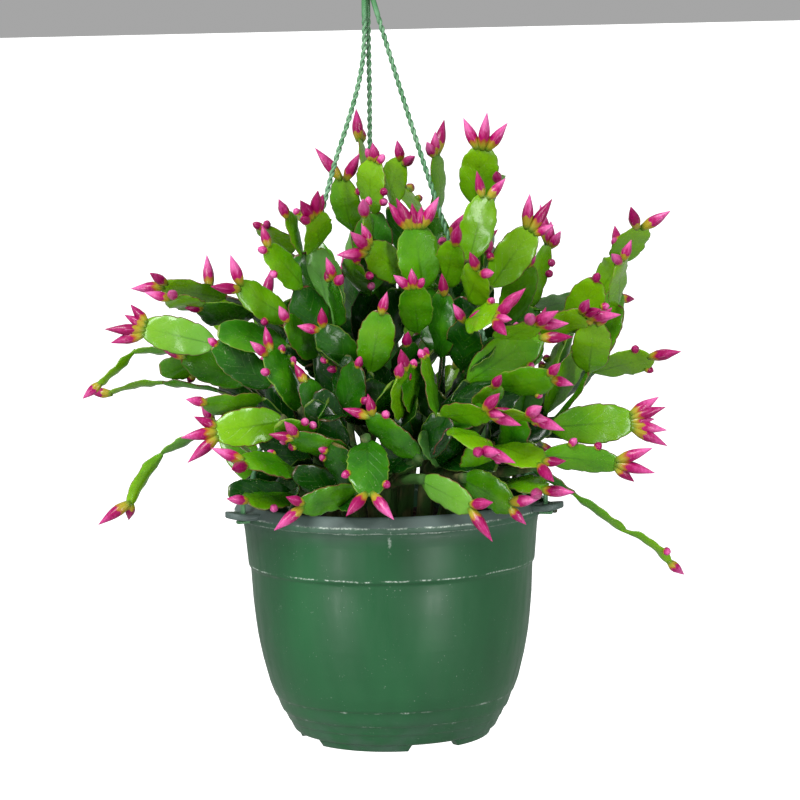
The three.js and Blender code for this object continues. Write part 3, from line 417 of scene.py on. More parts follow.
def closest(a0, a1, b0, b1):
    """Where two lines come nearest, as shares s and t along them, and the gap between: the usual
    least-squares pair, each held to its line."""
    d1, d2, r = a1 - a0, b1 - b0, a0 - b0
    aa, ee, bb = (d1 * d1).sum(-1), (d2 * d2).sum(-1), (d1 * d2).sum(-1)
    cc, ff = (d1 * r).sum(-1), (d2 * r).sum(-1)
    s = np.clip((bb * ff - cc * ee) / np.maximum(1e-9, aa * ee - bb * bb), 0, 1)
    t = (bb * s + ff) / ee
    beyond = (t < 0) | (t > 1)
    t = np.clip(t, 0, 1)
    s = np.where(beyond, np.clip((bb * t - cc) / aa, 0, 1), s)
    return s, t, a0 + d1 * s[..., None] - b0 - d2 * t[..., None]


def spread_out(blades, arms):
    """Bends the stems clear of each other, of the hanger's arms and of the pot: joints of blades
    whose middle lines come too close are pushed apart, a little at a time."""
    joints = list(dict.fromkeys(joint for blade in blades for joint in (blade.start, blade.end)))
    number = {joint: i for i, joint in enumerate(joints)}
    at = np.array([joint.at for joint in joints])
    fixed = np.array([joint.fixed for joint in joints])
    start = np.array([number[blade.start] for blade in blades])
    end = np.array([number[blade.end] for blade in blades])
    i, j = np.triu_indices(len(blades), 1)
    apart = (start[i] != start[j]) & (start[i] != end[j]) & (end[i] != start[j]) & (end[i] != end[j])
    i, j = i[apart], j[apart]
    k, m = (each.ravel() for each in np.indices((len(blades), len(arms))))
    for _ in range(SPREAD_PASSES):
        push = np.zeros_like(at)
        s, t, gap = closest(at[start[i]], at[end[i]], at[start[j]], at[end[j]])
        size = np.linalg.norm(gap, axis=1)
        short = SPREAD_GAP - size
        near = np.linalg.norm(at[start[i]] - at[start[j]], axis=1) <= 110
        move = gap / size[:, None] * np.where(near & (short > 0), 0.2 * short, 0)[:, None]
        for joint, share in ((start[i], 1 - s), (end[i], s), (start[j], t - 1), (end[j], -t)):
            np.add.at(push, joint, move * share[:, None])
        s, t, gap = closest(at[start[k]], at[end[k]], arms[m, 0], arms[m, 1])
        size = np.linalg.norm(gap, axis=1)
        move = gap / size[:, None] * np.maximum(0, 0.4 * (ARM_GAP - size))[:, None]
        for joint, share in ((start[k], 1 - s), (end[k], s)):
            np.add.at(push, joint, move * share[:, None])
        far = np.linalg.norm(push, axis=1)
        push *= np.minimum(1, 3 / np.maximum(far, 1e-9))[:, None]
        at += np.where(fixed[:, None], 0, push)
        over_pot = np.hypot(at[:, 0], at[:, 1]) < FLANGE_RADIUS + 12
        at[:, 2] = np.where(over_pot, np.maximum(at[:, 2], SHOULDER_HEIGHT + 5), at[:, 2])
    for joint, place_now in zip(joints, at):
        joint.at = place_now


def dress(trunk, key):
    """Gives each blade its depth from the trunk, width, thickness, face and curves."""
    depth = {trunk.joints[0]: 0}
    bearing = {blade.start for blade in trunk.blades}
    waiting = list(trunk.blades)
    while waiting:
        blade = next(one for one in waiting if one.start in depth)
        waiting.remove(blade)
        blade.depth = depth[blade.start]
        depth[blade.end] = blade.depth + 1
    for i, blade in enumerate(trunk.blades):
        blade.thing = thing = 100 * key + i
        axis = unit(blade.end.at - blade.start.at)
        blade.last = blade.end not in bearing
        blade.thickness = BLADE_THICKNESS + (3.4, 1.2, 0)[min(blade.depth, 2)]
        if blade.width is None:
            broad = (0.4, 0.8, 1.0)[min(blade.depth, 2)]
            blade.width = BLADE_WIDTH * (broad + 0.1 * chance(thing, 41))
        if blade.depth == 0:
            blade.width = min(blade.width, BLADE_WIDTH * 0.5)
        if blade.face is None:
            out = unit(blade.start.at - DOME_MIDDLE) + vec(0, 0, 0.3)
            blade.face = rolled(square(out, axis), axis, (chance(thing, 42) - 0.5) * 1.3)
        else:
            blade.face = square(blade.face, axis)
        blade.bow = (chance(thing, 43) - 0.35) * 5
        blade.cup = (chance(thing, 44) - 0.3) * 2.4
    for bearer in trunk.blades:
        axes = axes_of(bearer)
        young = [blade for blade in trunk.blades if blade.start is bearer.end]
        young.sort(key=lambda blade: (blade.end.at - blade.start.at).dot(axes[4]))
        for i, blade in enumerate(young):
            step = min(SIBLING_GAP / bearer.width, SIBLING_REACH / max(1, len(young) - 1))
            side = step * (2 * i - (len(young) - 1))
            blade.shift = on_blade(bearer, axes, 1, side) - bearer.end.at


def axes_of(blade):
    """A blade's root, length, and unit vectors along it, out of its face and across it."""
    root = blade.start.at + blade.shift
    along = blade.end.at - root
    length = np.linalg.norm(along)
    along = along / length
    face = square(blade.face, along)
    return root, length, along, face, np.cross(along, face)


def on_blade(blade, axes, share, side):
    """Points on a blade's middle surface: share runs along it and side across its half width, and
    it rises by bow 4 share (1 - share) + cup side^2."""
    root, length, along, face, across = axes
    share, side = np.broadcast_arrays(np.asarray(share, float), np.asarray(side, float))
    rise = blade.bow * 4 * share * (1 - share) + blade.cup * side * side
    steps = (share * length, side * blade.width / 2, rise)
    return root + sum(step[..., None] * way for step, way in zip(steps, (along, across, face)))


# ---------------------------------------------------------------- meshes


def swept_volume(grid):
    """The volume inside a closed grid, which is negative if its faces look inwards: a sixth of
    the sum of a . (b x c) over its triangles, from its own middle."""
    grid = grid - grid.mean((0, 1))
    a, b = grid[:-1], grid[1:]
    c, d = np.roll(b, -1, 1), np.roll(a, -1, 1)
    total = (a * np.cross(d, c)).sum() + (a * np.cross(c, b)).sum()
    for row, way in ((grid[0], -1), (grid[-1], 1)):
        middle = row.mean(0)
        total += way * (middle * np.cross(row, np.roll(row, -1, 0))).sum()
    return total / 6


class Surface:
    """Gathers grids of points into one mesh, with two vectors at each point for the finishes."""

    def __init__(self):
        self.points, self.faces, self.marks, self.kinds, self.finishes = [], [], [], [], []
        self.count = 0

    def tube(self, grid, marks=None, kind=(0, 0, 0), finish=0):
        """Rows of points round a closed section, each joined to the next, and a fan at each end
        from the middle of its row. The rows run so that every face looks outwards."""
        if swept_volume(grid) < 0:
            grid, marks = grid[::-1], None if marks is None else marks[::-1]
        marks = np.zeros_like(grid) if marks is None else marks
        rows, sides = grid.shape[:2]
        ends = grid[[0, -1]].mean(1)
        points = np.concatenate([grid.reshape(-1, 3), ends])
        marks = np.concatenate([marks.reshape(-1, 3), marks[[0, -1]].mean(1)])
        row, side = np.indices((rows - 1, sides))
        after = (side + 1) % sides
        corners = [row * sides + side, row * sides + after, (row + 1) * sides + after]
        quads = np.stack([*corners, (row + 1) * sides + side], -1).reshape(-1, 4)
        ring = np.arange(sides)
        turn = (ring + 1) % sides
        first = np.stack([turn, ring, np.full(sides, rows * sides)], -1)
        last = np.stack([ring, turn, np.full(sides, rows * sides + 1 - (rows - 1) * sides)], -1)
        tris = np.concatenate([first, last + (rows - 1) * sides])
        self.add(points, quads.tolist() + tris.tolist(), marks, kind, finish)

    def ring(self, grid):
        """Closed sections one after another round a hole, the last joined to the first."""
        if swept_volume(np.concatenate([grid, grid[:1]])) < 0:
            grid = grid[::-1]
        rows, sides = grid.shape[:2]
        row, side = np.indices((rows, sides))
        on, after = (row + 1) % rows * sides, (side + 1) % sides
        quads = np.stack([row * sides + side, row * sides + after, on + after, on + side], -1)
        self.add(grid.reshape(-1, 3), quads.reshape(-1, 4).tolist(), (0, 0, 0), (0, 0, 0), 0)

    def add(self, points, faces, marks, kind, finish):
        self.points.append(put(points))
        self.faces += [[i + self.count for i in face] for face in faces]
        self.marks.append(np.broadcast_to(marks, points.shape))
        self.kinds.append(np.broadcast_to(kind, points.shape))
        self.finishes += [finish] * len(faces)
        self.count += len(points)

    def made(self, name, materials):
        """The mesh as a new object, smooth all over."""
        mesh = bpy.data.meshes.new(name)
        mesh.from_pydata(np.concatenate(self.points), [], self.faces)
        for material in materials:
            mesh.materials.append(material)
        for label, values in (("marks", self.marks), ("kind", self.kinds)):
            layer = mesh.attributes.new(label, "FLOAT_VECTOR", "POINT")
            layer.data.foreach_set("vector", np.concatenate(values).ravel().astype(np.float32))
        mesh.polygons.foreach_set("material_index", self.finishes)
        mesh.polygons.foreach_set("use_smooth", [True] * len(self.faces))
        mesh.update()
        piece = bpy.data.objects.new(name, mesh)
        bpy.context.scene.collection.objects.link(piece)
        return piece


def stands_for(piece, slot, *nodes):
    """Puts a piece on the one body, in place of its nodes."""
    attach(piece, "root")
    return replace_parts(piece, *nodes)


def path_frames(points):
    """Unit vectors along a path and two square to it, carried along with no twist: each normal is
    the one before it made square to the new direction."""
    along = np.gradient(points, axis=0)
    along /= np.linalg.norm(along, axis=1)[:, None]
    helper = vec(1, 0, 0) if abs(along[0][0]) < 0.8 else vec(0, 1, 0)
    normals = [square(helper, along[0])]
    for way in along[1:]:
        normals.append(square(normals[-1], way))
    normals = np.array(normals)
    return along, normals, np.cross(along, normals)


def swept(points, radius, angles):
    """A section carried along a path: radius is a number, or a grid of rows by angles."""
    _, normal, other = path_frames(points)
    radius = np.broadcast_to(radius, (len(points), len(angles)))[..., None]
    ring = normal[:, None] * np.cos(angles)[..., None] + other[:, None] * np.sin(angles)[..., None]
    return points[:, None] + ring * radius


def resampled(points, count):
    """Points evenly spaced along a smooth curve through a few: each coordinate is a cubic of the
    length so far."""
    points = np.asarray(points, float)
    far = np.concatenate([[0], np.cumsum(np.linalg.norm(np.diff(points, axis=0), axis=1))])
    where = np.linspace(0, far[-1], count)
    return np.stack([smooth_through(list(zip(far, points[:, k])), where) for k in range(3)], -1)


def turns(sides):
    """Angles evenly spaced round a full turn."""
    return 2 * np.pi * np.arange(sides) / sides


# ---------------------------------------------------------------- blades, buds and wood

BLADE_ROWS, BLADE_SIDES = 28, 16
END_OUTLINE = (
    (0, 0.15), (0.05, 0.36), (0.17, 0.7), (0.4, 0.97), (0.56, 1), (0.72, 0.95), (0.86, 0.8), (0.95, 0.6),
    (1, 0.42), (1.02, 0.3),
)
INNER_OUTLINE = (
    (0, 0.18), (0.08, 0.5), (0.25, 0.86), (0.48, 0.98), (0.66, 1), (0.82, 0.84), (0.93, 0.6), (1, 0.42),
    (1.02, 0.3),
)
FLESH = ((-0.1, 0.5), (0, 0.75), (0.3, 1), (0.8, 0.95), (0.97, 0.8), (1, 0.62), (1.02, 0.25))
NOTCH_DEPTH = 0.075  # of the half width
KNOB_CHANCE = 0.1  # of a round bud at a notch


def notches_of(blade, side):
    """Where the margin on one side steps in: three or four places, evenly spaced with some play."""
    purpose = 100 if side > 0 else 120
    count = 3 + (chance(blade.thing, purpose) > 0.5)
    play = [chance(blade.thing, purpose + 1 + k) - 0.5 for k in range(count)]
    return [0.24 + 0.7 * (k + 0.5 + 0.4 * play[k]) / count for k in range(count)]


def scallops(share, notches):
    """How far the margin is set in: 1 just past each notch, back to 0 along the lobe by
    (1 - x)^1.6, x being the share of the lobe run through."""
    edges = np.array([0.0, *notches, 1.08])
    lobe = np.clip(np.searchsorted(edges, share, side="right") - 1, 0, len(edges) - 2)
    run = np.clip((share - edges[lobe]) / (edges[lobe + 1] - edges[lobe]), 0, 1)
    return np.where(lobe == 0, 0, (1 - run) ** 1.6)


def blade_grid(blade, axes):
    """A blade as closed sections along it. A section runs round by an angle: across it by cos
    and out of it by |sin|^0.7 of a thickness that falls to the margins, with a raised midrib. The
    margin is scalloped, the surface waves a little, and it turns slightly on its own axis."""
    length = axes[1]
    share = np.concatenate([[-SINK / length], np.linspace(0, 0.985, BLADE_ROWS), [1, 1.012, 1.02]])
    theta = turns(BLADE_SIDES)
    c, s = np.cos(theta), np.sin(theta)
    outline = END_OUTLINE if blade.last else INNER_OUTLINE
    half = smooth_through(outline, np.maximum(share, 0))
    inset = np.where(
        c > 0,
        scallops(share, notches_of(blade, 1))[:, None],
        scallops(share, notches_of(blade, -1))[:, None],
    )
    side = half[:, None] * c * (1 - NOTCH_DEPTH * inset * np.abs(c) ** 5)
    thing = blade.thing
    turn = (chance(thing, 141) - 0.5) * 0.6 * (share - 0.4)[:, None]
    wave = 0.55 * np.sin(2 * np.pi * (1.3 * share[:, None] + chance(thing, 142))) * c
    ripple = 0.45 * np.abs(c) ** 3 * np.sin(2 * np.pi * (3.2 * share[:, None] + chance(thing, 143)) + 2 * c)
    swell = 0.25 * np.sin(2 * np.pi * (2.1 * share[:, None] + chance(thing, 144)))
    flesh = blade.thickness / 2 * smooth_through(FLESH, share)[:, None]
    body = np.sign(s) * np.abs(s) ** 0.7 * flesh * (0.5 + 0.5 * (1 - c * c))
    rib = 0.4 * np.sign(s) * np.exp(-((c / 0.15) ** 2)) * (1 - 0.6 * np.clip(share, 0, 1))[:, None]
    lift = body + rib + wave + ripple + swell + turn * side * blade.width / 2
    points = on_blade(blade, axes, share[:, None], side) + lift[..., None] * axes[3]
    marks = np.stack(np.broadcast_arrays(share[:, None], c, inset), -1)
    return points, marks


BUD_ROWS, BUD_SIDES = 15, 20
LONG_BUD = (
    (0, 0.5), (0.1, 0.66), (0.28, 0.95), (0.42, 1.04), (0.58, 0.9), (0.76, 0.56), (0.9, 0.26), (1, 0.03),
)
ROUND_BUD = ((0, 0.6), (0.2, 0.92), (0.5, 1.1), (0.75, 0.85), (0.92, 0.42), (1, 0.05))


def bud_grid(root, way, length, radius, shape, thing):
    """A bud as rings along a slightly bent line. Five petals overlap round it, so the radius
    climbs by a tenth across each and steps back at its edge, and the scales at its foot end in
    five points, past which it is thinner."""
    t = np.linspace(0, 1, BUD_ROWS)[:, None]
    theta = turns(BUD_SIDES)
    petal = (5 * theta / (2 * np.pi) + 0.4 * t + chance(thing, 151)) % 1
    tooth = np.abs(2 * ((5 * theta / (2 * np.pi) + chance(thing, 152)) % 1) - 1)
    past = t - (0.24 + 0.1 * chance(thing, 153)) - 0.11 * tooth
    ring = radius * smooth_through(shape, t) * (1 + 0.11 * (petal - 0.5)) * np.where(past < 0, 1.07, 1)
    other = square(vec(0.3, 0.5, 1), way)
    third = np.cross(way, other)
    bend = (chance(thing, 154) - 0.3) * 0.09 * length * t * t
    middle = root + (BUD_SINK + length) * t[..., None] * way + bend[..., None] * other
    around = np.cos(theta)[:, None] * other + np.sin(theta)[:, None] * third
    marks = np.stack(np.broadcast_arrays(t, past, petal), -1)
    return middle + ring[..., None] * around, marks


def add_bud(surface, root, way, size, stretch, thing):
    """Adds a bud of one of the three sizes: the small one is round and the others are pointed."""
    usual, radius = BUD[size]
    shape = ROUND_BUD if size == "S" else LONG_BUD
    grid, marks = bud_grid(root, way, usual * stretch, 0.98 * radius, shape, thing)
    kind = vec(chance(thing, 155), chance(thing, 156), "SML".index(size) / 2)
    surface.tube(grid, marks, kind, 1)


def bark_tube(surface, start, end, radii, thing, finish):
    """A woody length between two joints: a line bowed a little aside, its radius rippled by low
    waves round and along it."""
    t = np.linspace(0, 1, 14)
    way = unit(end - start)
    aside = rolled(square(vec(0.2, 1, 0.3), way), way, 6.28 * chance(thing, 161))
    line = start + t[:, None] * (end - start) + (1.4 * np.sin(np.pi * t))[:, None] * aside
    theta = turns(14)
    ripple = 0.07 * np.sin(3 * theta + 5 * t[:, None] + 9 * chance(thing, 162))
    knobs = 0.05 * np.sin(19 * t[:, None] + 2 * theta)
    radius = (radii[0] + (radii[1] - radii[0]) * t[:, None]) * (1 + ripple + knobs)
    marks = np.stack(np.broadcast_arrays(t[:, None], np.cos(theta), ripple), -1)
    kind = vec(chance(thing, 163), 1, 0.3)
    surface.tube(swept(line, radius, theta), marks, kind, finish)


def exposure(point):
    """How far out in the dome a point lies: 0 at its middle and 1 at its reach. The blades' finish paints
    shade and light by it.
    """
    return float(np.linalg.norm((point - DOME_MIDDLE) / DOME_REACH))


INNER_LENGTH, INNER_WIDTH = 36.0, 19.0
INNER_EXPOSURE = 0.78  # past which none of their tips lies


def inner_blades(trunk, key):
    """Small shaded blades inside the plant, too many for the solids: two from the end of
    each woody length, outwards, up and to either side, save where they would come out of it."""
    made = []
    for i, wood in enumerate(blade for blade in trunk.blades if blade.depth == 0 and not blade.last):
        way = unit(wood.end.at - wood.start.at)
        out = unit(wood.end.at - DOME_MIDDLE) + vec(0, 0, 0.35)
        aside = unit(np.cross(way, out))
        for side in (-1, 1):
            thing = 8000 + 100 * key + 2 * i + (side > 0)
            heading = unit(0.5 * way + 0.4 * out + side * (0.6 + 0.5 * chance(thing, 201)) * aside)
            length = INNER_LENGTH * (0.85 + 0.3 * chance(thing, 202))
            tip = wood.end.at + length * heading
            if exposure(tip) > INNER_EXPOSURE:
                continue
            blade = Blade(wood.end, Joint(tip), "", INNER_WIDTH, None)
            blade.thing, blade.depth, blade.last = thing, 1, True
            blade.thickness = BLADE_THICKNESS
            blade.face = rolled(square(out, heading), heading, chance(thing, 203) - 0.5)
            blade.bow, blade.cup = (chance(thing, 204) - 0.35) * 5, (chance(thing, 205) - 0.3) * 2.4
            made.append(blade)
    return made


def stem_surface(trunk, key):
    """A leafy stem: its trunk, woody lengths, blades, the buds fanned out at their tips, and a
    round bud at a notch here and there."""
    surface = Surface()
    for blade in inner_blades(trunk, key):
        grid, marks = blade_grid(blade, axes_of(blade))
        # Inner blades get age 0.35 and a fixed exposure of 0.5, which the blade finish turns into painted
        # shade.
        surface.tube(grid, marks, vec(chance(blade.thing, 171), 0.35, 0.5), 0)
    crotch = trunk.joints[0].at
    thing = 5000 + key
    past = crotch + 3 * unit(crotch - trunk.root)
    bark_tube(surface, trunk.root, past, (TRUNK_RADIUS, TRUNK_RADIUS * 0.85), thing, 2)
    for blade in trunk.blades:
        axes = axes_of(blade)
        if blade.depth == 0 and not blade.last:
            tip = blade.end.at + 0.06 * (blade.end.at - blade.start.at)
            bark_tube(surface, blade.start.at, tip, WOOD_RADIUS, blade.thing, 2)
        else:
            grid, marks = blade_grid(blade, axes)
            age = 0 if blade.last else 0.35 + 0.6 / (blade.depth + 1)
            middle = (blade.start.at + blade.end.at) / 2
            # The blade's exposure sets painted shade and light in its finish; its age sets its own darker
            # green.
            surface.tube(grid, marks, vec(chance(blade.thing, 171), age, exposure(middle)), 0)
        count = len(blade.buds)
        for i, size in enumerate(blade.buds):
            side = (chance(blade.thing, 51) - 0.5) * 0.3 if count == 1 else 2 * i / (count - 1) - 1
            fan = side * (0.5 + 0.2 * chance(blade.thing, 60 + i))
            nod = (chance(blade.thing, 70 + i) - 0.4) * 0.5
            way = unit(axes[2] + fan * axes[4] + nod * axes[3])
            root = on_blade(blade, axes, 1, side * min(0.36, 0.1 * count)) - BUD_SINK * way
            stretch = 0.85 + 0.25 * chance(blade.thing, 80 + i)
            add_bud(surface, root, way, size, stretch, 10 * blade.thing + i)
        if blade.last:
            for side in (-1, 1):
                for k, share in enumerate(notches_of(blade, side)):
                    if chance(blade.thing, 180 + k + 5 * side) > KNOB_CHANCE:
                        continue
                    edge = side * smooth_through(END_OUTLINE, np.array(share)) * 0.93
                    way = unit(side * axes[4] + 0.7 * axes[2])
                    root = on_blade(blade, axes, share, edge) - BUD_SINK * way
                    stretch = 0.5 + 0.4 * chance(blade.thing, 190 + k)
                    add_bud(surface, root, way, "S", stretch, blade.thing + k)
    return surface


# ---------------------------------------------------------------- pot, soil and hanger

POT_SIDES = 264
POT_OUTSIDE = (
    (60.5, 4.5), (64.4, 4.5), (66.2, 5.8), (68.1, 9.6), (69.2, 12.1), (70, 12.6), (70.6, 14.2), (72.2, 17.3),
    (72.9, 18.4), (73.7, 18.8), (74.9, 21.4), (76.2, 25), (77.4, 28.4), (78.2, 28.9), (78.9, 30.6),
    (80.1, 33.6), (81.4, 37.2), (83.4, 45), (85.4, 53), (87, 61), (88.4, 69), (89.4, 77), (90.2, 85),
    (90.9, 92.8), (91.5, 104.7), (91.9, 112), (92.3, 113.4), (93.1, 114.2), (93.4, 115.6), (94.2, 124.6),
    (95.2, 136.5), (95.7, 140), (96.2, 143), (96.2, 146.8),
)
POT_INSIDE = ((94.3, 147), (91.5, 115), (90.1, 112), (86.1, 67), (74.1, 24), (63.3, 7.5))
RIM_TICKS = 66  # fine upright ribs on the flange's edge
FLOOR_SEAM = 59.0  # where the floor's quarters meet the wall's foot
EAR_ROOT, EAR_LOW = 95.6, 150.5
EAR_LIFT = 2.0  # how far an ear turns up at its end


def chamfered(profile, cut):
    """A profile with each inner corner cut off by a short edge."""
    points = np.array(profile, float)
    before, here, after = points[:-2], points[1:-1], points[2:]
    back, on = before - here, after - here
    near = [np.linalg.norm(way, axis=1)[:, None] for way in (back, on)]
    corners = [here + way / size * np.minimum(cut, 0.3 * size) for way, size in zip((back, on), near)]
    return np.concatenate([points[:1], np.stack(corners, 1).reshape(-1, 2), points[-1:]])


def turned(profile, sides):
    """A profile of (radius, height) turned round the upright axis."""
    theta = turns(sides)
    r, z = np.asarray(profile).T[..., None]
    return np.stack(np.broadcast_arrays(r * np.cos(theta), r * np.sin(theta), z), -1)


def pot_surface():
    """The pot's wall turned from its profile, with upright ticks on the flange's edge, a floor in
    four quarters round the drain holes, four feet with sloped ends and three ears."""
    edge = [(FLANGE_RADIUS - 0.7, 146.9), (FLANGE_RADIUS, 147.5), (FLANGE_RADIUS, 150.7), (101, 151.6)]
    top = [*edge, (99.8, 153.6), (98.4, 155.6), (97.2, 156.6), (95.8, 157), (94.7, 156.7), (94.3, 155.9)]
    inner = FLOOR_SEAM - 2
    profile = chamfered([(inner, FOOT_HEIGHT), *POT_OUTSIDE, *top, *POT_INSIDE, (inner, POT_FLOOR)], 0.25)
    grid = turned(profile, POT_SIDES)
    radius = np.hypot(grid[..., 0], grid[..., 1])
    on_edge = (radius > 101.2) & (grid[..., 2] > 147.3) & (grid[..., 2] < 150.5)
    tick = np.maximum(0, np.cos(RIM_TICKS * turns(POT_SIDES))) ** 2
    grid[..., :2] *= 1 + (on_edge * tick * 0.28 / np.maximum(radius, 1))[..., None]
    surface = Surface()
    surface.ring(grid.swapaxes(0, 1))
    for azimuth in FOOT_NOTCH_AT:
        surface.ring(floor_grid(azimuth))
        surface.tube(foot_grid(azimuth + FOOT_NOTCH / 2, azimuth + 90 - FOOT_NOTCH / 2))
    for azimuth in EAR_AT.values():
        surface.ring(ear_grid(azimuth))
    return surface


def plate(middle, inner, outer, low, high, lift):
    """A flat plate round a hole: inner and outer are the distances to its edges from the hole's
    middle in each direction. From the pot's flange out to the ears' reach it rises by
    lift x^2, x running from 0 to 1."""
    theta = turns(len(outer))
    reach = np.stack([inner, outer - 0.5, outer, outer, outer - 0.5, inner], -1)
    height = np.array([low, low, low + 0.5, high - 0.5, high, high])
    x = middle + reach * np.cos(theta)[:, None]
    run = np.clip((x - FLANGE_RADIUS) / (EAR_REACH - FLANGE_RADIUS), 0, 1)
    return np.stack([x, reach * np.sin(theta)[:, None], height + lift * run**2], -1)


def floor_grid(azimuth):
    """A quarter of the pot's floor, round its drain hole: it ends at the two diagonals, x = y and
    x = -y, and at a circle round the pot's axis."""
    theta = turns(96)
    c, s = np.cos(theta), np.sin(theta)
    circle = np.sqrt((DRAIN_RING * c) ** 2 + FLOOR_SEAM**2 - DRAIN_RING**2) - DRAIN_RING * c
    diagonal = DRAIN_RING / np.maximum(np.abs(s) - c, 1e-3)
    outer = np.minimum(circle, diagonal)
    hole = np.full(len(theta), DRAIN_RADIUS)
    return about_z(plate(DRAIN_RING, hole, outer, FOOT_HEIGHT, POT_FLOOR, 0), azimuth)


def foot_grid(first, last):
    """A foot: a section carried round an arc, whose underside rises at both ends."""
    azimuth = np.radians(np.linspace(first, last, 24))
    rise = FOOT_HEIGHT * np.clip(1 - 24 * np.minimum(azimuth - azimuth[0], azimuth[-1] - azimuth), 0, 1)
    corners = [(FOOT_INNER, 6), (FOOT_INNER, 0), (FOOT_OUTER, 0), (64.2, 6), (FOOT_INNER, 6)]
    section = chamfered(corners, 0.4)[:-1]
    r, z = section.T
    low = np.maximum(z, rise[:, None])
    return np.stack([r * np.cos(azimuth)[:, None], r * np.sin(azimuth)[:, None], low], -1)


def ear_grid(azimuth):
    """An ear: a tab with a round end and a slot through it, which turns up a little outwards."""
    theta = turns(96)
    c, s = np.cos(theta), np.sin(theta)
    wide = EAR_WIDTH / 2
    past = EAR_REACH - wide - CLIP_RADIUS
    sides = wide / np.maximum(np.abs(s), 1e-3)
    back = np.where(c < 0, (CLIP_RADIUS - EAR_ROOT) / np.maximum(-c, 1e-3), 1e3)
    round_end = past * c + np.sqrt(wide**2 - (past * s) ** 2)
    outer = np.where(sides * c > past, round_end, np.minimum(sides, back))
    slot_end = SLOT_LENGTH / 2 / np.maximum(np.abs(c), 1e-3)
    slot_side = SLOT_WIDTH / 2 / np.maximum(np.abs(s), 1e-3)
    slot = np.minimum(slot_end, slot_side)
    high = EAR_LOW + FLANGE_THICKNESS
    return about_z(plate(CLIP_RADIUS, slot, outer, EAR_LOW, high, EAR_LIFT), azimuth)


def about_z(points, azimuth):
    """Points turned about the upright axis by an angle in degrees."""
    a = math.radians(azimuth)
    turn = np.array([[math.cos(a), math.sin(a), 0], [-math.sin(a), math.cos(a), 0], [0, 0, 1]])
    return points @ turn


def rough(points, waves, size, seed):
    """Low noise over points: a sum of plane waves in random directions, each as high as long."""
    rng = np.random.default_rng(seed)
    total = np.zeros(points.shape[:-1])
    for long in waves:
        way = rng.normal(size=(6, points.shape[-1]))
        way *= 2 * np.pi / long / np.linalg.norm(way, axis=1)[:, None]
        phase = rng.uniform(0, 6.28, 6)
        total += long * np.sin(points @ way.T + phase).sum(-1)
    return size * total / sum(waves)


def soil_surface():
    """Potting mix: a turned body whose top is rough, with crumbs and chips of bark strewn on it."""
    radii = np.linspace(0.01, 92.2, 60)
    top = np.where(radii < SOIL_CROWN, SOIL_TOP, SOIL_TOP - 4 * (radii - SOIL_CROWN) / 31)
    under = [(0.01, 7.8), (62.7, 7.8), (73, 24), (85.5, 67), (89.4, 112), (90.9, 116)]
    profile = np.concatenate([under, np.stack([radii, top], -1)[::-1]])
    grid = turned(profile, 200)
    bumps = rough(grid[..., :2], (28, 13, 6.5, 3.5), 0.9, 11) + 0.6
    grid[len(under) :, :, 2] -= np.abs(bumps[len(under) :])
    surface = Surface()
    surface.tube(grid, kind=vec(0.5, 0, 0))
    rng = np.random.default_rng(12)
    turn = turns(6)
    for _ in range(900):
        far, azimuth = 91 * math.sqrt(rng.uniform(0.02, 1)), rng.uniform(0, 6.28)
        size = rng.uniform(0.6, 2.4) * (1.0, 0.6)[rng.integers(2)]
        height = SOIL_TOP - max(0, 4 * (far - SOIL_CROWN) / 31) - 0.8
        rows = np.array([0.35, 1, 0.9, 0.3])[:, None] * rng.uniform(0.7, 1.3, (4, 6))
        tall = np.array([-0.6, -0.2, 0.35, 0.6])[:, None] * np.ones(6)
        chip = size * np.stack([1.5 * rows * np.cos(turn), rows * np.sin(turn), tall], -1)
        at = vec(far * math.cos(azimuth), far * math.sin(azimuth), height)
        chip = about_z(chip, rng.uniform(0, 360)) + at
        surface.tube(chip, kind=vec(rng.uniform(), 1, 0))
    return surface


def arm_points(name):
    azimuth = math.radians(EAR_AT[name])
    spread = vec(math.cos(azimuth), math.sin(azimuth), 0)
    start = COLLAR_BOTTOM + ARM_SPREAD * spread + vec(0, 0, -3 * GAP)
    waist = start + 1.2 * spread + vec(0, 0, ARM_WAIST[name])
    end = (CLIP_RADIUS + CLIP_INNER) / 2 * spread + vec(0, 0, POT_HEIGHT + CLIP_RISE)
    points = [start, waist]
    for share in (0.3, 0.6, 0.85):
        bow = ARM_BOW[name] * math.sin(math.pi * share)
        points.append(waist + (end - waist) * share + bow * spread)
    return np.array([*points, end])


ARCH_PATH = (
    (92, 145.4), (92, 156), (92, 166), (92.5, 170.6), (94.5, 174), (99.25, 175.4), (104, 174), (106, 170.6),
    (106.5, 166), (106.5, 158), (106.5, 149.6),
)
FOOT_PATH = ((102.4, 149.1), (105, 149.1), (108, 149.1), (110.6, 149.1))
STRAP_ROWS = 64
TWIST_PITCH = 10.5  # length of one full turn of an arm's two plies
PLAIN_TOP = 11.0  # length under the collar that isn't twisted


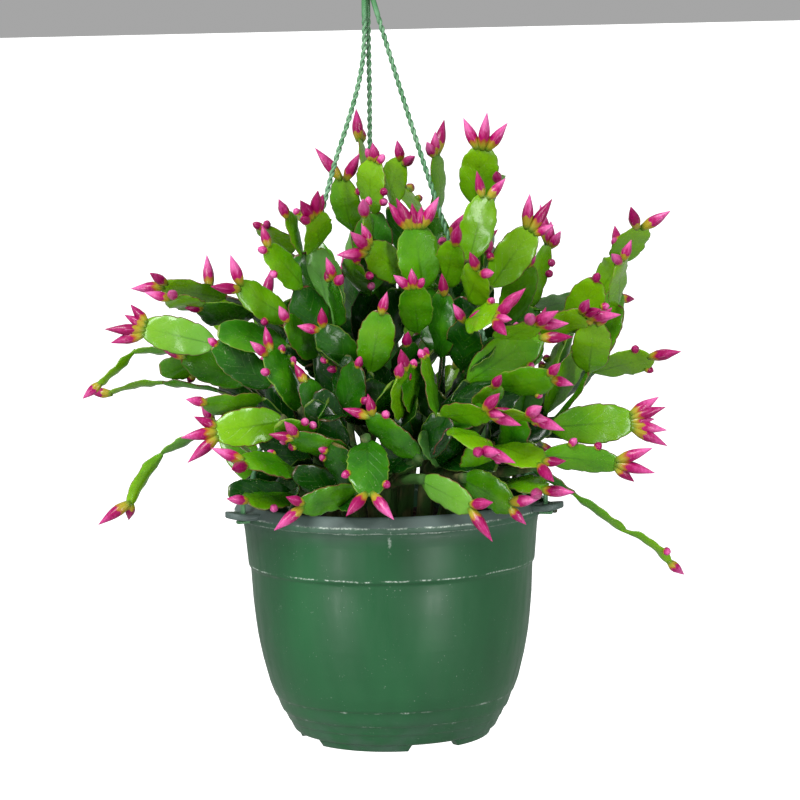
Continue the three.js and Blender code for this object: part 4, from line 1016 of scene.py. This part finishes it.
def arm_surface(name):
    """An arm: two plies twisted together. Round its line, the radius is that of the outer of two
    overlapping circles set d apart, d |cos a| + sqrt(p^2 - d^2 sin^2 a), and a turns along it. It
    ends on a strap that arches over the rim, through the ear's slot to a foot beneath."""
    few = arm_points(name)
    length = np.linalg.norm(np.diff(few, axis=0), axis=1).sum()
    count = int(length / TWIST_PITCH * 14)
    line = resampled(few, count)
    far = np.linspace(0, length, count)[:, None]
    theta = turns(18)
    angle = theta - 2 * np.pi * far / TWIST_PITCH
    radius = ARM_DIAMETER / 2
    apart, ply = 0.42 * radius, 0.58 * radius
    twisted = apart * np.abs(np.cos(angle)) + np.sqrt(ply**2 - (apart * np.sin(angle)) ** 2)
    plain = np.clip((far - PLAIN_TOP) / 6, 0, 1) * np.clip((length - far - 3) / 5, 0, 1)
    section = (1 - plain) * 0.94 * radius + plain * twisted
    marks = np.stack(np.broadcast_arrays(far / length, np.abs(np.cos(angle)) * plain, plain), -1)
    surface = Surface()
    surface.tube(swept(line, section, theta), marks)
    for path in (ARCH_PATH, FOOT_PATH):
        surface.tube(about_z(strap_grid(path), EAR_AT[name]))
    return surface


def strap_grid(path):
    """A flat strap along a path in the upright plane through X, with a rounded section."""
    line = resampled([(x, 0, z) for x, z in path], STRAP_ROWS)
    along = np.gradient(line, axis=0)
    along /= np.linalg.norm(along, axis=1)[:, None]
    out = np.cross(along, vec(0, 1, 0))
    theta = turns(16)
    a = CLIP_THICKNESS / 2 * np.sign(np.cos(theta)) * np.abs(np.cos(theta)) ** 0.6
    b = CLIP_WIDTH / 2 * np.sign(np.sin(theta)) * np.abs(np.sin(theta)) ** 0.6
    row = np.arange(STRAP_ROWS)
    ends = np.clip(np.minimum(row, row[::-1]) / 3 + 0.45, 0, 1)[:, None, None]
    return line[:, None] + ends * (a[:, None] * out[:, None] + b[:, None] * vec(0, 1, 0))


def hook_surface():
    """The collar, turned from its profile, and the hook's round bar above it."""
    height, radius = COLLAR_HEIGHT, COLLAR_RADIUS
    profile = [(0.01, 0), (radius - 1.5, 0), (radius - 0.2, 2.2), (radius, 3.2), (radius, height - 7),
               (radius - 1.2, height - 4.6), (HOOK_BAR / 2 + 1, height), (0.01, height)]
    collar = turned(chamfered(profile, 0.4), 48) + COLLAR_BOTTOM
    points = [HOOK_BASE + vec(0, 0, -4), HOOK_BASE + vec(0, 0, 5)]
    for angle in range(-60, 201, 26):
        a = math.radians(angle)
        points.append(HOOK_CENTRE + HOOK_RADIUS * vec(math.cos(a), 0, math.sin(a)))
    line = resampled(points, 90)
    ease = np.clip((89 - np.arange(90)) / 3 + 0.5, 0, 1)[:, None]
    surface = Surface()
    surface.tube(collar)
    surface.tube(swept(line, HOOK_BAR / 2 * ease, turns(20)))
    return surface


# ---------------------------------------------------------------- finishes


def colour(code):
    """A colour written as six hex digits, in linear light."""
    parts = [int(code[i : i + 2], 16) / 255 for i in (0, 2, 4)]
    return (*[p / 12.92 if p <= 0.04045 else ((p + 0.055) / 1.055) ** 2.4 for p in parts], 1)


class Nodes:
    """Builds a node tree by short calls, each of which gives the socket that it puts out."""

    def __init__(self, tree):
        self.tree = tree

    def add(self, kind, values=(), **settings):
        node = self.tree.nodes.new(kind)
        for key, value in settings.items():
            setattr(node, key, value)
        for key, value in dict(values).items():
            if isinstance(value, bpy.types.NodeSocket):
                self.tree.links.new(value, node.inputs[key])
            else:
                node.inputs[key].default_value = value
        return node

    def sum(self, operation, *values):
        return self.add("ShaderNodeMath", enumerate(values), operation=operation).outputs[0]

    def scaled(self, value, low, high, to_low=0.0, to_high=1.0):
        """A value eased from one range to another."""
        values = {"Value": value, "From Min": low, "From Max": high, "To Min": to_low, "To Max": to_high}
        return self.add("ShaderNodeMapRange", values, interpolation_type="SMOOTHSTEP").outputs[0]

    def mix(self, share, a, b):
        values = {0: share, 6: a, 7: b}
        return self.add("ShaderNodeMix", values, data_type="RGBA").outputs[2]

    def noise(self, where, scale, detail=2.0, roughness=0.5):
        values = {"Vector": where, "Scale": scale, "Detail": detail, "Roughness": roughness}
        return self.add("ShaderNodeTexNoise", values).outputs[0]

    def attribute(self, name):
        made = self.add("ShaderNodeAttribute", attribute_name=name).outputs["Vector"]
        return self.add("ShaderNodeSeparateXYZ", {0: made}).outputs[:3]

    def place(self):
        return self.add("ShaderNodeTexCoord").outputs["Object"]

    def stretched(self, where, scale):
        return self.add("ShaderNodeMapping", {"Vector": where, "Scale": scale}).outputs[0]

    def bump(self, height, strength, distance):
        values = {"Height": height, "Strength": strength, "Distance": distance}
        return self.add("ShaderNodeBump", values).outputs[0]

    def group(self, tree, values):
        node = self.add("ShaderNodeGroup", node_tree=tree)
        for key, value in values.items():
            if isinstance(value, bpy.types.NodeSocket):
                self.tree.links.new(value, node.inputs[key])
            else:
                node.inputs[key].default_value = value
        return node


def new_group(name, inputs, outputs):
    """An empty node group with named sockets, its Nodes and its two ends."""
    tree = bpy.data.node_groups.new(name, "ShaderNodeTree")
    for label, kind in inputs.items():
        tree.interface.new_socket(label, in_out="INPUT", socket_type=kind)
    for label, kind in outputs.items():
        tree.interface.new_socket(label, in_out="OUTPUT", socket_type=kind)
    nodes = Nodes(tree)
    return tree, nodes, nodes.add("NodeGroupInput"), nodes.add("NodeGroupOutput")


def finish(name, paint, **shader):
    """A material: paint() works out its changing sockets, and the rest are set on the shader."""
    material = bpy.data.materials.new(name)
    material.use_nodes = True
    nodes = Nodes(material.node_tree)
    principled = material.node_tree.nodes["Principled BSDF"]
    for key, value in shader.items():
        principled.inputs[key.replace("_", " ")].default_value = value
    for key, value in paint(nodes).items():
        material.node_tree.links.new(value, principled.inputs[key.replace("_", " ")])
    return material


FLOAT, POINT = "NodeSocketFloat", "NodeSocketVector"


def speckle_group():
    """Speckles: a mask of small spots, where fine noise passes a level that patchy noise lowers."""
    inputs = {"Where": POINT, "Scale": FLOAT, "Amount": FLOAT}
    tree, nodes, given, out = new_group("speckles", inputs, {"Mask": FLOAT})
    where, scale, amount = (given.outputs[key] for key in inputs)
    fine = nodes.noise(where, scale, 2, 0.6)
    patch = nodes.noise(where, nodes.sum("MULTIPLY", scale, 0.12), 2)
    level = nodes.sum("SUBTRACT", 0.86, nodes.sum("MULTIPLY", amount, patch))
    spots = nodes.scaled(nodes.sum("SUBTRACT", fine, level), 0, 0.05)
    nodes.tree.links.new(spots, out.inputs["Mask"])
    return tree


def chalk_group():
    """Chalk line: a mask round the pot at a height, a little wavy and broken up by patchy noise."""
    inputs = {"Where": POINT, "Height": FLOAT, "Width": FLOAT, "Amount": FLOAT}
    tree, nodes, given, out = new_group("chalk line", inputs, {"Mask": FLOAT})
    where, height, width, amount = (given.outputs[key] for key in inputs)
    z = nodes.add("ShaderNodeSeparateXYZ", {0: where}).outputs[2]
    wobble = nodes.sum("MULTIPLY", nodes.sum("SUBTRACT", nodes.noise(where, 60, 3), 0.5), 0.0022)
    off = nodes.sum("ABSOLUTE", nodes.sum("SUBTRACT", nodes.sum("SUBTRACT", z, height), wobble))
    line = nodes.scaled(off, width, 0, 0, 1)
    patch = nodes.noise(where, 85, 5, 0.7)
    broken = nodes.scaled(patch, nodes.sum("SUBTRACT", 0.78, amount), nodes.sum("SUBTRACT", 0.9, amount))
    grain = nodes.scaled(nodes.noise(where, 620, 4, 0.7), 0.4, 0.6, 0.1, 1)
    mask = nodes.sum("MULTIPLY", nodes.sum("MULTIPLY", line, broken), grain)
    nodes.tree.links.new(mask, out.inputs["Mask"])
    return tree


SPECKLES = speckle_group()
CHALK_LINE = chalk_group()

FRESH, LUSH, DEEP = colour("76AC08"), colour("358406"), colour("083804")
GLAUCOUS = colour("5C9648")


def paint_blade(n):
    """Fresh green at the tips of the outer blades and deep green inside, in soft patches: the deep green
    inside the dome and the fresh outer tips are partly painted shade and painted light, set by how far out a
    blade lies, and partly the blades' own green by age. With a darker midrib, faint veins to the notches, a
    thin reddish or pale margin and waxy ones."""
    share, across, inset = n.attribute("marks")
    tone, age, out = n.attribute("kind")
    where = n.place()
    patches = n.noise(where, 45, 3)
    # Painted shade and light: blades deep in the dome are darkened and outer ones lightened by their
    # exposure (out); age darkens older blades' own green.
    light = n.sum("ADD", n.scaled(out, 0.35, 1.0), n.sum("MULTIPLY", n.sum("SUBTRACT", tone, 0.5), 0.5))
    light = n.sum("ADD", light, n.sum("MULTIPLY", n.sum("SUBTRACT", patches, 0.5), 0.7))
    light = n.sum("SUBTRACT", light, n.sum("MULTIPLY", age, 0.35))
    base = n.mix(n.scaled(light, 0.05, 0.75), DEEP, LUSH)
    # Painted light, partly: the fresh green at the tips is strongest on outer, lit blades.
    tip = n.sum("MULTIPLY", n.scaled(light, 0.35, 1.1), n.scaled(share, 0.0, 1.0, 0.55, 1.0))
    base = n.mix(tip, base, FRESH)
    wax = n.sum("MULTIPLY", n.scaled(tone, 0.93, 0.95), n.scaled(patches, 0.3, 0.6, 0.25, 0.6))
    base = n.mix(wax, base, GLAUCOUS)
    edge = n.sum("ABSOLUTE", across)
    rib = n.sum("MULTIPLY", n.scaled(edge, 0.09, 0.0), n.scaled(share, 0.95, 0.1, 0.05, 0.45))
    slant = n.sum("SUBTRACT", n.sum("MULTIPLY", share, 5.5), n.sum("MULTIPLY", edge, 2.2))
    vein = n.sum("ABSOLUTE", n.sum("SUBTRACT", n.sum("FRACT", slant), 0.5))
    vein = n.sum("MULTIPLY", n.scaled(vein, 0.05, 0.0), n.scaled(edge, 0.95, 0.3))
    base = n.mix(rib, base, DEEP)
    base = n.mix(n.sum("MULTIPLY", vein, 0.16), base, FRESH)
    blush = n.scaled(n.sum("FRACT", n.sum("MULTIPLY", tone, 7.3)), 0.25, 0.7)
    rim = n.mix(blush, colour("84A03C"), colour("722634"))
    margin = n.scaled(n.sum("ADD", edge, n.sum("MULTIPLY", inset, 0.04)), 0.93, 0.995)
    margin = n.sum("MAXIMUM", margin, n.scaled(share, 0.985, 1.0))
    base = n.mix(n.sum("MULTIPLY", margin, n.scaled(out, 0.45, 0.75, 0.25, 0.8)), base, rim)
    dots = n.group(SPECKLES, {"Where": where, "Scale": 1100.0, "Amount": 0.32}).outputs[0]
    base = n.mix(n.sum("MULTIPLY", dots, 0.5), base, colour("C9D3A8"))
    rough = n.scaled(n.noise(where, 120, 3), 0.3, 0.7, 0.2, 0.36)
    rough = n.sum("ADD", rough, n.sum("MULTIPLY", wax, 0.22))
    relief = n.sum("ADD", n.sum("MULTIPLY", n.noise(where, 190, 3), 1.0), n.sum("MULTIPLY", vein, -0.3))
    return {"Base_Color": base, "Roughness": rough, "Normal": n.bump(relief, 0.5, 0.0009)}


def paint_bud(n):
    """Olive scales with a red flush at the foot, then petals from magenta to pink, streaked along and paler
    at their edges. The pale streaks and edges are partly the petals' own colour and partly painted
    highlight."""
    share, past, petal = n.attribute("marks")
    tone, pale, _ = n.attribute("kind")
    where = n.place()
    streak = n.noise(n.stretched(where, (1, 1, 0.4)), 700, 2)
    foot = n.mix(n.scaled(share, 0.02, 0.2), colour("5F8420"), colour("A59A28"))
    flush = n.sum("MULTIPLY", n.scaled(past, -0.16, 0.0), n.scaled(tone, 0.1, 0.8, 0.2, 0.9))
    foot = n.mix(flush, foot, colour("A83028"))
    deep = n.mix(pale, colour("8A0048"), colour("AC0462"))
    light = n.mix(pale, colour("BE1C7C"), colour("E26CAE"))
    fade = n.scaled(past, 0.02, 0.5)
    fade = n.sum("MULTIPLY", fade, n.scaled(pale, 0.1, 0.8, 0.25, 1.0))
    # Partly painted highlight: the pale streaks stand in for glints on the petals as well as their own
    # streaks.
    streaks_and_painted_highlight = n.sum("MULTIPLY", n.sum("SUBTRACT", streak, 0.52), 1.2)
    paleness_and_painted_highlight = n.sum("ADD", fade, streaks_and_painted_highlight)
    petals = n.mix(paleness_and_painted_highlight, deep, light)
    # Pale pink at each petal's edge: partly the petal's own paler margin, partly a painted highlight along
    # its ridge.
    petals = n.mix(n.sum("MULTIPLY", n.scaled(petal, 0.82, 1.0), 0.32), petals, colour("F2A6D2"))
    base = n.mix(n.scaled(past, -0.012, 0.012), foot, petals)
    relief = n.sum("ADD", streak, n.sum("MULTIPLY", petal, 0.4))
    return {"Base_Color": base, "Normal": n.bump(relief, 0.3, 0.0004)}


def paint_wood(n):
    """Green-tan bark with long streaks and scars across, made darker all over with painted shade, so that
    bare wood inside the plant reads as the shade between blades.
    """
    where = n.place()
    long = n.noise(n.stretched(where, (1, 1, 0.25)), 260, 4, 0.6)
    # Painted shade: both bark colours are much darker than the wood's own green-tan.
    base = n.mix(n.scaled(long, 0.35, 0.65), colour("2C3812"), colour("66683A"))
    base = n.mix(n.scaled(n.noise(where, 70, 2), 0.35, 0.6), base, colour("2F5A16"))
    return {"Base_Color": base, "Normal": n.bump(long, 0.7, 0.001)}


def paint_pot(n):
    """Dark green moulded plastic: dust on its flange and in its rings, broken chalk lines where
    water has stood, a drip, and faint streaks down its side."""
    where = n.place()
    x, y, z = n.add("ShaderNodeSeparateXYZ", {0: where}).outputs[:3]
    cloud = n.noise(n.stretched(where, (1, 1, 0.35)), 14, 3)
    base = n.mix(n.scaled(cloud, 0.3, 0.7), colour("164C2A"), colour("1E5E34"))
    high = n.sum("ADD", z, POT_LIFT)
    thick = n.scaled(n.noise(where, 40, 4), 0.25, 0.75, 0.25, 0.85)
    dust = n.sum("MULTIPLY", n.scaled(high, 0.135, 0.1515), thick)
    thin = n.scaled(n.noise(where, 60, 3), 0.35, 0.7, 0.0, 0.5)
    low = n.sum("MULTIPLY", n.scaled(high, 0.034, 0.002), thin)
    dust = n.sum("MAXIMUM", dust, low)
    top = n.sum("MULTIPLY", n.scaled(high, 0.1503, 0.1509), 0.75)
    base = n.mix(n.sum("MAXIMUM", n.sum("MULTIPLY", dust, 0.55), top), base, colour("5C6768"))
    masks = []
    for height, width, amount in ((0.1505, 0.0009, 0.36), (0.1466, 0.0011, 0.42), (0.1156, 0.0007, 0.33),
                                  (0.0284, 0.0009, 0.3), (0.0186, 0.0007, 0.24), (0.0122, 0.0006, 0.2)):
        values = {"Where": where, "Height": height - POT_LIFT, "Width": width, "Amount": amount}
        masks.append(n.group(CHALK_LINE, values).outputs[0])
    chalk = masks[0]
    for mask in masks[1:]:
        chalk = n.sum("MAXIMUM", chalk, mask)
    wander = n.sum("MULTIPLY", n.noise(where, 90, 2), 0.003)
    aside = n.sum("ABSOLUTE", n.sum("SUBTRACT", n.sum("SUBTRACT", x, DRIP_AT), wander))
    drip = n.sum("MULTIPLY", n.scaled(aside, 0.0016, 0.0004), n.scaled(n.noise(where, 420, 3), 0.48, 0.6))
    drip = n.sum("MULTIPLY", drip, n.sum("MULTIPLY", n.scaled(high, 0.127, 0.146), n.scaled(y, 0.0, -0.01)))
    chalk = n.sum("MAXIMUM", chalk, n.sum("MULTIPLY", drip, 0.45))
    dots = n.group(SPECKLES, {"Where": where, "Scale": 700.0, "Amount": 0.27}).outputs[0]
    chalk = n.sum("MAXIMUM", chalk, n.sum("MULTIPLY", dots, 0.3))
    base = n.mix(chalk, base, colour("C4D2C6"))
    scuff = n.noise(n.stretched(where, (1, 1, 0.2)), 130, 4, 0.6)
    dull = n.sum("MULTIPLY", n.sum("MAXIMUM", dust, chalk), 0.3)
    rough = n.sum("ADD", n.scaled(scuff, 0.3, 0.7, 0.3, 0.44), dull)
    relief = n.sum("ADD", n.sum("MULTIPLY", n.noise(where, 55, 2), 0.8), n.sum("MULTIPLY", chalk, 0.35))
    return {"Base_Color": base, "Roughness": rough, "Normal": n.bump(relief, 0.25, 0.0012)}


def paint_soil(n):
    """Near-black mix with brown fibres and paler crumbs."""
    where = n.place()
    tone, chip, _ = n.attribute("kind")
    fine = n.noise(where, 520, 5, 0.7)
    base = n.mix(n.scaled(fine, 0.35, 0.7), colour("0D0906"), colour("33241A"))
    bark = n.mix(n.scaled(tone, 0.2, 0.95), colour("1C120C"), colour("5A3F2B"))
    base = n.mix(n.sum("MULTIPLY", chip, 0.75), base, bark)
    return {"Base_Color": base, "Normal": n.bump(fine, 0.9, 0.0014)}


def paint_arm(n):
    """Sage plastic, with painted shade in the groove between its two plies."""
    share, ply, twisted = n.attribute("marks")
    where = n.place()
    base = n.mix(n.scaled(n.noise(where, 90, 3), 0.3, 0.7), colour("4F8A5A"), colour("74A47C"))
    base = n.mix(n.sum("MULTIPLY", n.scaled(share, 0.0, 0.06, 1.0, 0.0), 0.6), base, colour("3F8048"))
    # Painted shade: darker where the two plies meet.
    groove_painted_shade = n.sum("MULTIPLY", n.scaled(ply, 0.75, 0.1), twisted)
    base = n.mix(n.sum("MULTIPLY", groove_painted_shade, 0.75), base, colour("2C5634"))
    fine = n.noise(where, 800, 2)
    return {"Base_Color": base, "Normal": n.bump(fine, 0.15, 0.0003)}


def paint_hook(n):
    """Mid green plastic, a little scuffed."""
    where = n.place()
    scuff = n.noise(where, 200, 4, 0.6)
    base = n.mix(n.scaled(scuff, 0.35, 0.7), colour("3E7D4A"), colour("5E9863"))
    rough = n.scaled(scuff, 0.3, 0.7, 0.3, 0.5)
    return {"Base_Color": base, "Roughness": rough, "Normal": n.bump(scuff, 0.15, 0.0004)}


POT_LIFT = HANG_POINT[2] / 1000
DRIP_AT = -0.0025 - HANG_POINT[0] / 1000

blade_finish = finish(
    "waxy_blade", paint_blade, Specular_IOR_Level=0.22, Coat_Weight=0.34, Coat_Roughness=0.12,
    Subsurface_Weight=0.1, Subsurface_Scale=0.004, Subsurface_Radius=(0.4, 1.0, 0.15),
)
bud_finish = finish(
    "bud_petals", paint_bud, Roughness=0.34, Specular_IOR_Level=0.22, Coat_Weight=0.2,
    Coat_Roughness=0.15, Subsurface_Weight=0.15, Subsurface_Scale=0.003,
    Subsurface_Radius=(1.0, 0.3, 0.6),
)
# The bark finish carries painted shade as well as the wood's colour.
wood_finish = finish("green_bark_painted_shade", paint_wood, Roughness=0.75)
pot_finish = finish("pot_plastic", paint_pot, Specular_IOR_Level=0.5)
soil_finish = finish("potting_mix", paint_soil, Roughness=0.95)
arm_finish = finish("sage_plastic", paint_arm, Roughness=0.4)
hook_finish = finish("hook_plastic", paint_hook)

# ---------------------------------------------------------------- the whole basket

stems = layout()
arm_lines = [arm_points(name) for name in EAR_AT]
arm_lines = np.concatenate([np.stack([points[:-1], points[1:]], 1) for points in arm_lines])
spread_out([blade for stem in stems for blade in stem.blades], arm_lines)
for key, stem in enumerate(stems):
    dress(stem, key)
    name = f"leafy_stem_{key + 1:02d}"
    piece = stem_surface(stem, key).made(f"{name}_grown", (blade_finish, bud_finish, wood_finish))
    stands_for(piece, "plant", name)

pot = pot_surface().made("nursery_pot", (pot_finish,))
stands_for(pot, "pot_plastic", "pot")
stands_for(soil_surface().made("potting_mix_surface", (soil_finish,)), "potting_mix", "soil")
for name in EAR_AT:
    arm = arm_surface(name).made(f"twisted_arm_{name}", (arm_finish,))
    stands_for(arm, "arm_plastic", f"hanger_arm_{name}")
stands_for(hook_surface().made("hook_and_collar", (hook_finish,)), "hook_plastic", "hanger_hook")

# ---------------------------------------------------------------- floor, light and camera


def lamp(name, at, aim, sides, power):
    """An upright soft light at one point that faces another."""
    data = bpy.data.lights.new(name, "AREA")
    data.shape, data.energy = "RECTANGLE", power
    data.size, data.size_y = sides
    light = bpy.data.objects.new(name, data)
    light.location = at
    light.rotation_euler = (Vector(aim) - Vector(at)).to_track_quat("-Z", "Y").to_euler()
    bpy.context.scene.collection.objects.link(light)


def sun(name, way, angle, strength):
    """A distant light that shines along a direction, from a disc of the sky this wide."""
    data = bpy.data.lights.new(name, "SUN")
    data.angle, data.energy = math.radians(angle), strength
    light = bpy.data.objects.new(name, data)
    light.rotation_euler = Vector(way).to_track_quat("-Z", "Y").to_euler()
    bpy.context.scene.collection.objects.link(light)


FLOOR_DROP = 0.35  # the basket hangs this far over the floor
FLOOR_HALF = 300.0
SKY_STRENGTH = 0.38
floor_mesh = bpy.data.meshes.new("floor")
low = float(put(vec(0, 0, 0))[2]) - FLOOR_DROP
corners = [(x * FLOOR_HALF, y * FLOOR_HALF, low) for x, y in ((-1, -1), (1, -1), (1, 1), (-1, 1))]
floor_mesh.from_pydata(corners, [], [(0, 1, 2, 3)])
floor = bpy.data.objects.new("floor", floor_mesh)
bpy.context.scene.collection.objects.link(floor)


def paint_floor(n):
    """A pale floor, mottled a little."""
    return {"Base_Color": n.mix(n.noise(n.place(), 3), colour("A8A8A8"), colour("B2B2B2"))}


floor_finish = finish(
    "pale_floor", paint_floor, Roughness=1.0, Specular_IOR_Level=0.0, Emission_Color=(1, 1, 1, 1),
)
seen = Nodes(floor_finish.node_tree)
straight = seen.add("ShaderNodeLightPath").outputs["Is Camera Ray"]
glow = floor_finish.node_tree.nodes["Principled BSDF"].inputs["Emission Strength"]
floor_finish.node_tree.links.new(straight, glow)
floor_mesh.materials.append(floor_finish)

middle = put(vec(0, 0, 130))
sun("key", (0.4, 0.62, -0.8), 24, 2.75)
lamp("strip_left", middle + vec(-1.15, -1.25, -0.05), middle, (0.3, 1.1), 10)
lamp("strip_right", middle + vec(0.95, -1.45, -0.05), middle, (0.24, 1.1), 13)

world = bpy.data.worlds.new("studio")
world.use_nodes = True
background = world.node_tree.nodes["Background"].inputs
background["Color"].default_value = (1, 1, 1, 1)
background["Strength"].default_value = SKY_STRENGTH
bpy.context.scene.world = world
bpy.context.scene.view_settings.view_transform = "Standard"

VIEW_WIDTH = 521.6  # millimetres across the view at the pot's axis
SENSOR = 36.0
lens_from = RIM_MIDDLE + SIGHT_DISTANCE * TO_FRONT
aim = place(6.2, 67.8, 0)
back = unit(lens_from - aim)
up = square(math.cos(SIGHT_LEAN) * UP_THE_SIGHT + math.sin(SIGHT_LEAN) * vec(1, 0, 0), back)
right = np.cross(up, back)
data = bpy.data.cameras.new("camera")
data.sensor_width = SENSOR
data.lens = SENSOR * SIGHT_DISTANCE / VIEW_WIDTH
data.clip_end = 100
camera = bpy.data.objects.new("camera", data)
bpy.context.scene.collection.objects.link(camera)
camera.matrix_world = Matrix(
    [[*row, at] for row, at in zip(np.stack([right, up, back], 1).tolist(), put(lens_from).tolist())]
    + [[0, 0, 0, 1]]
)
bpy.context.scene.camera = camera
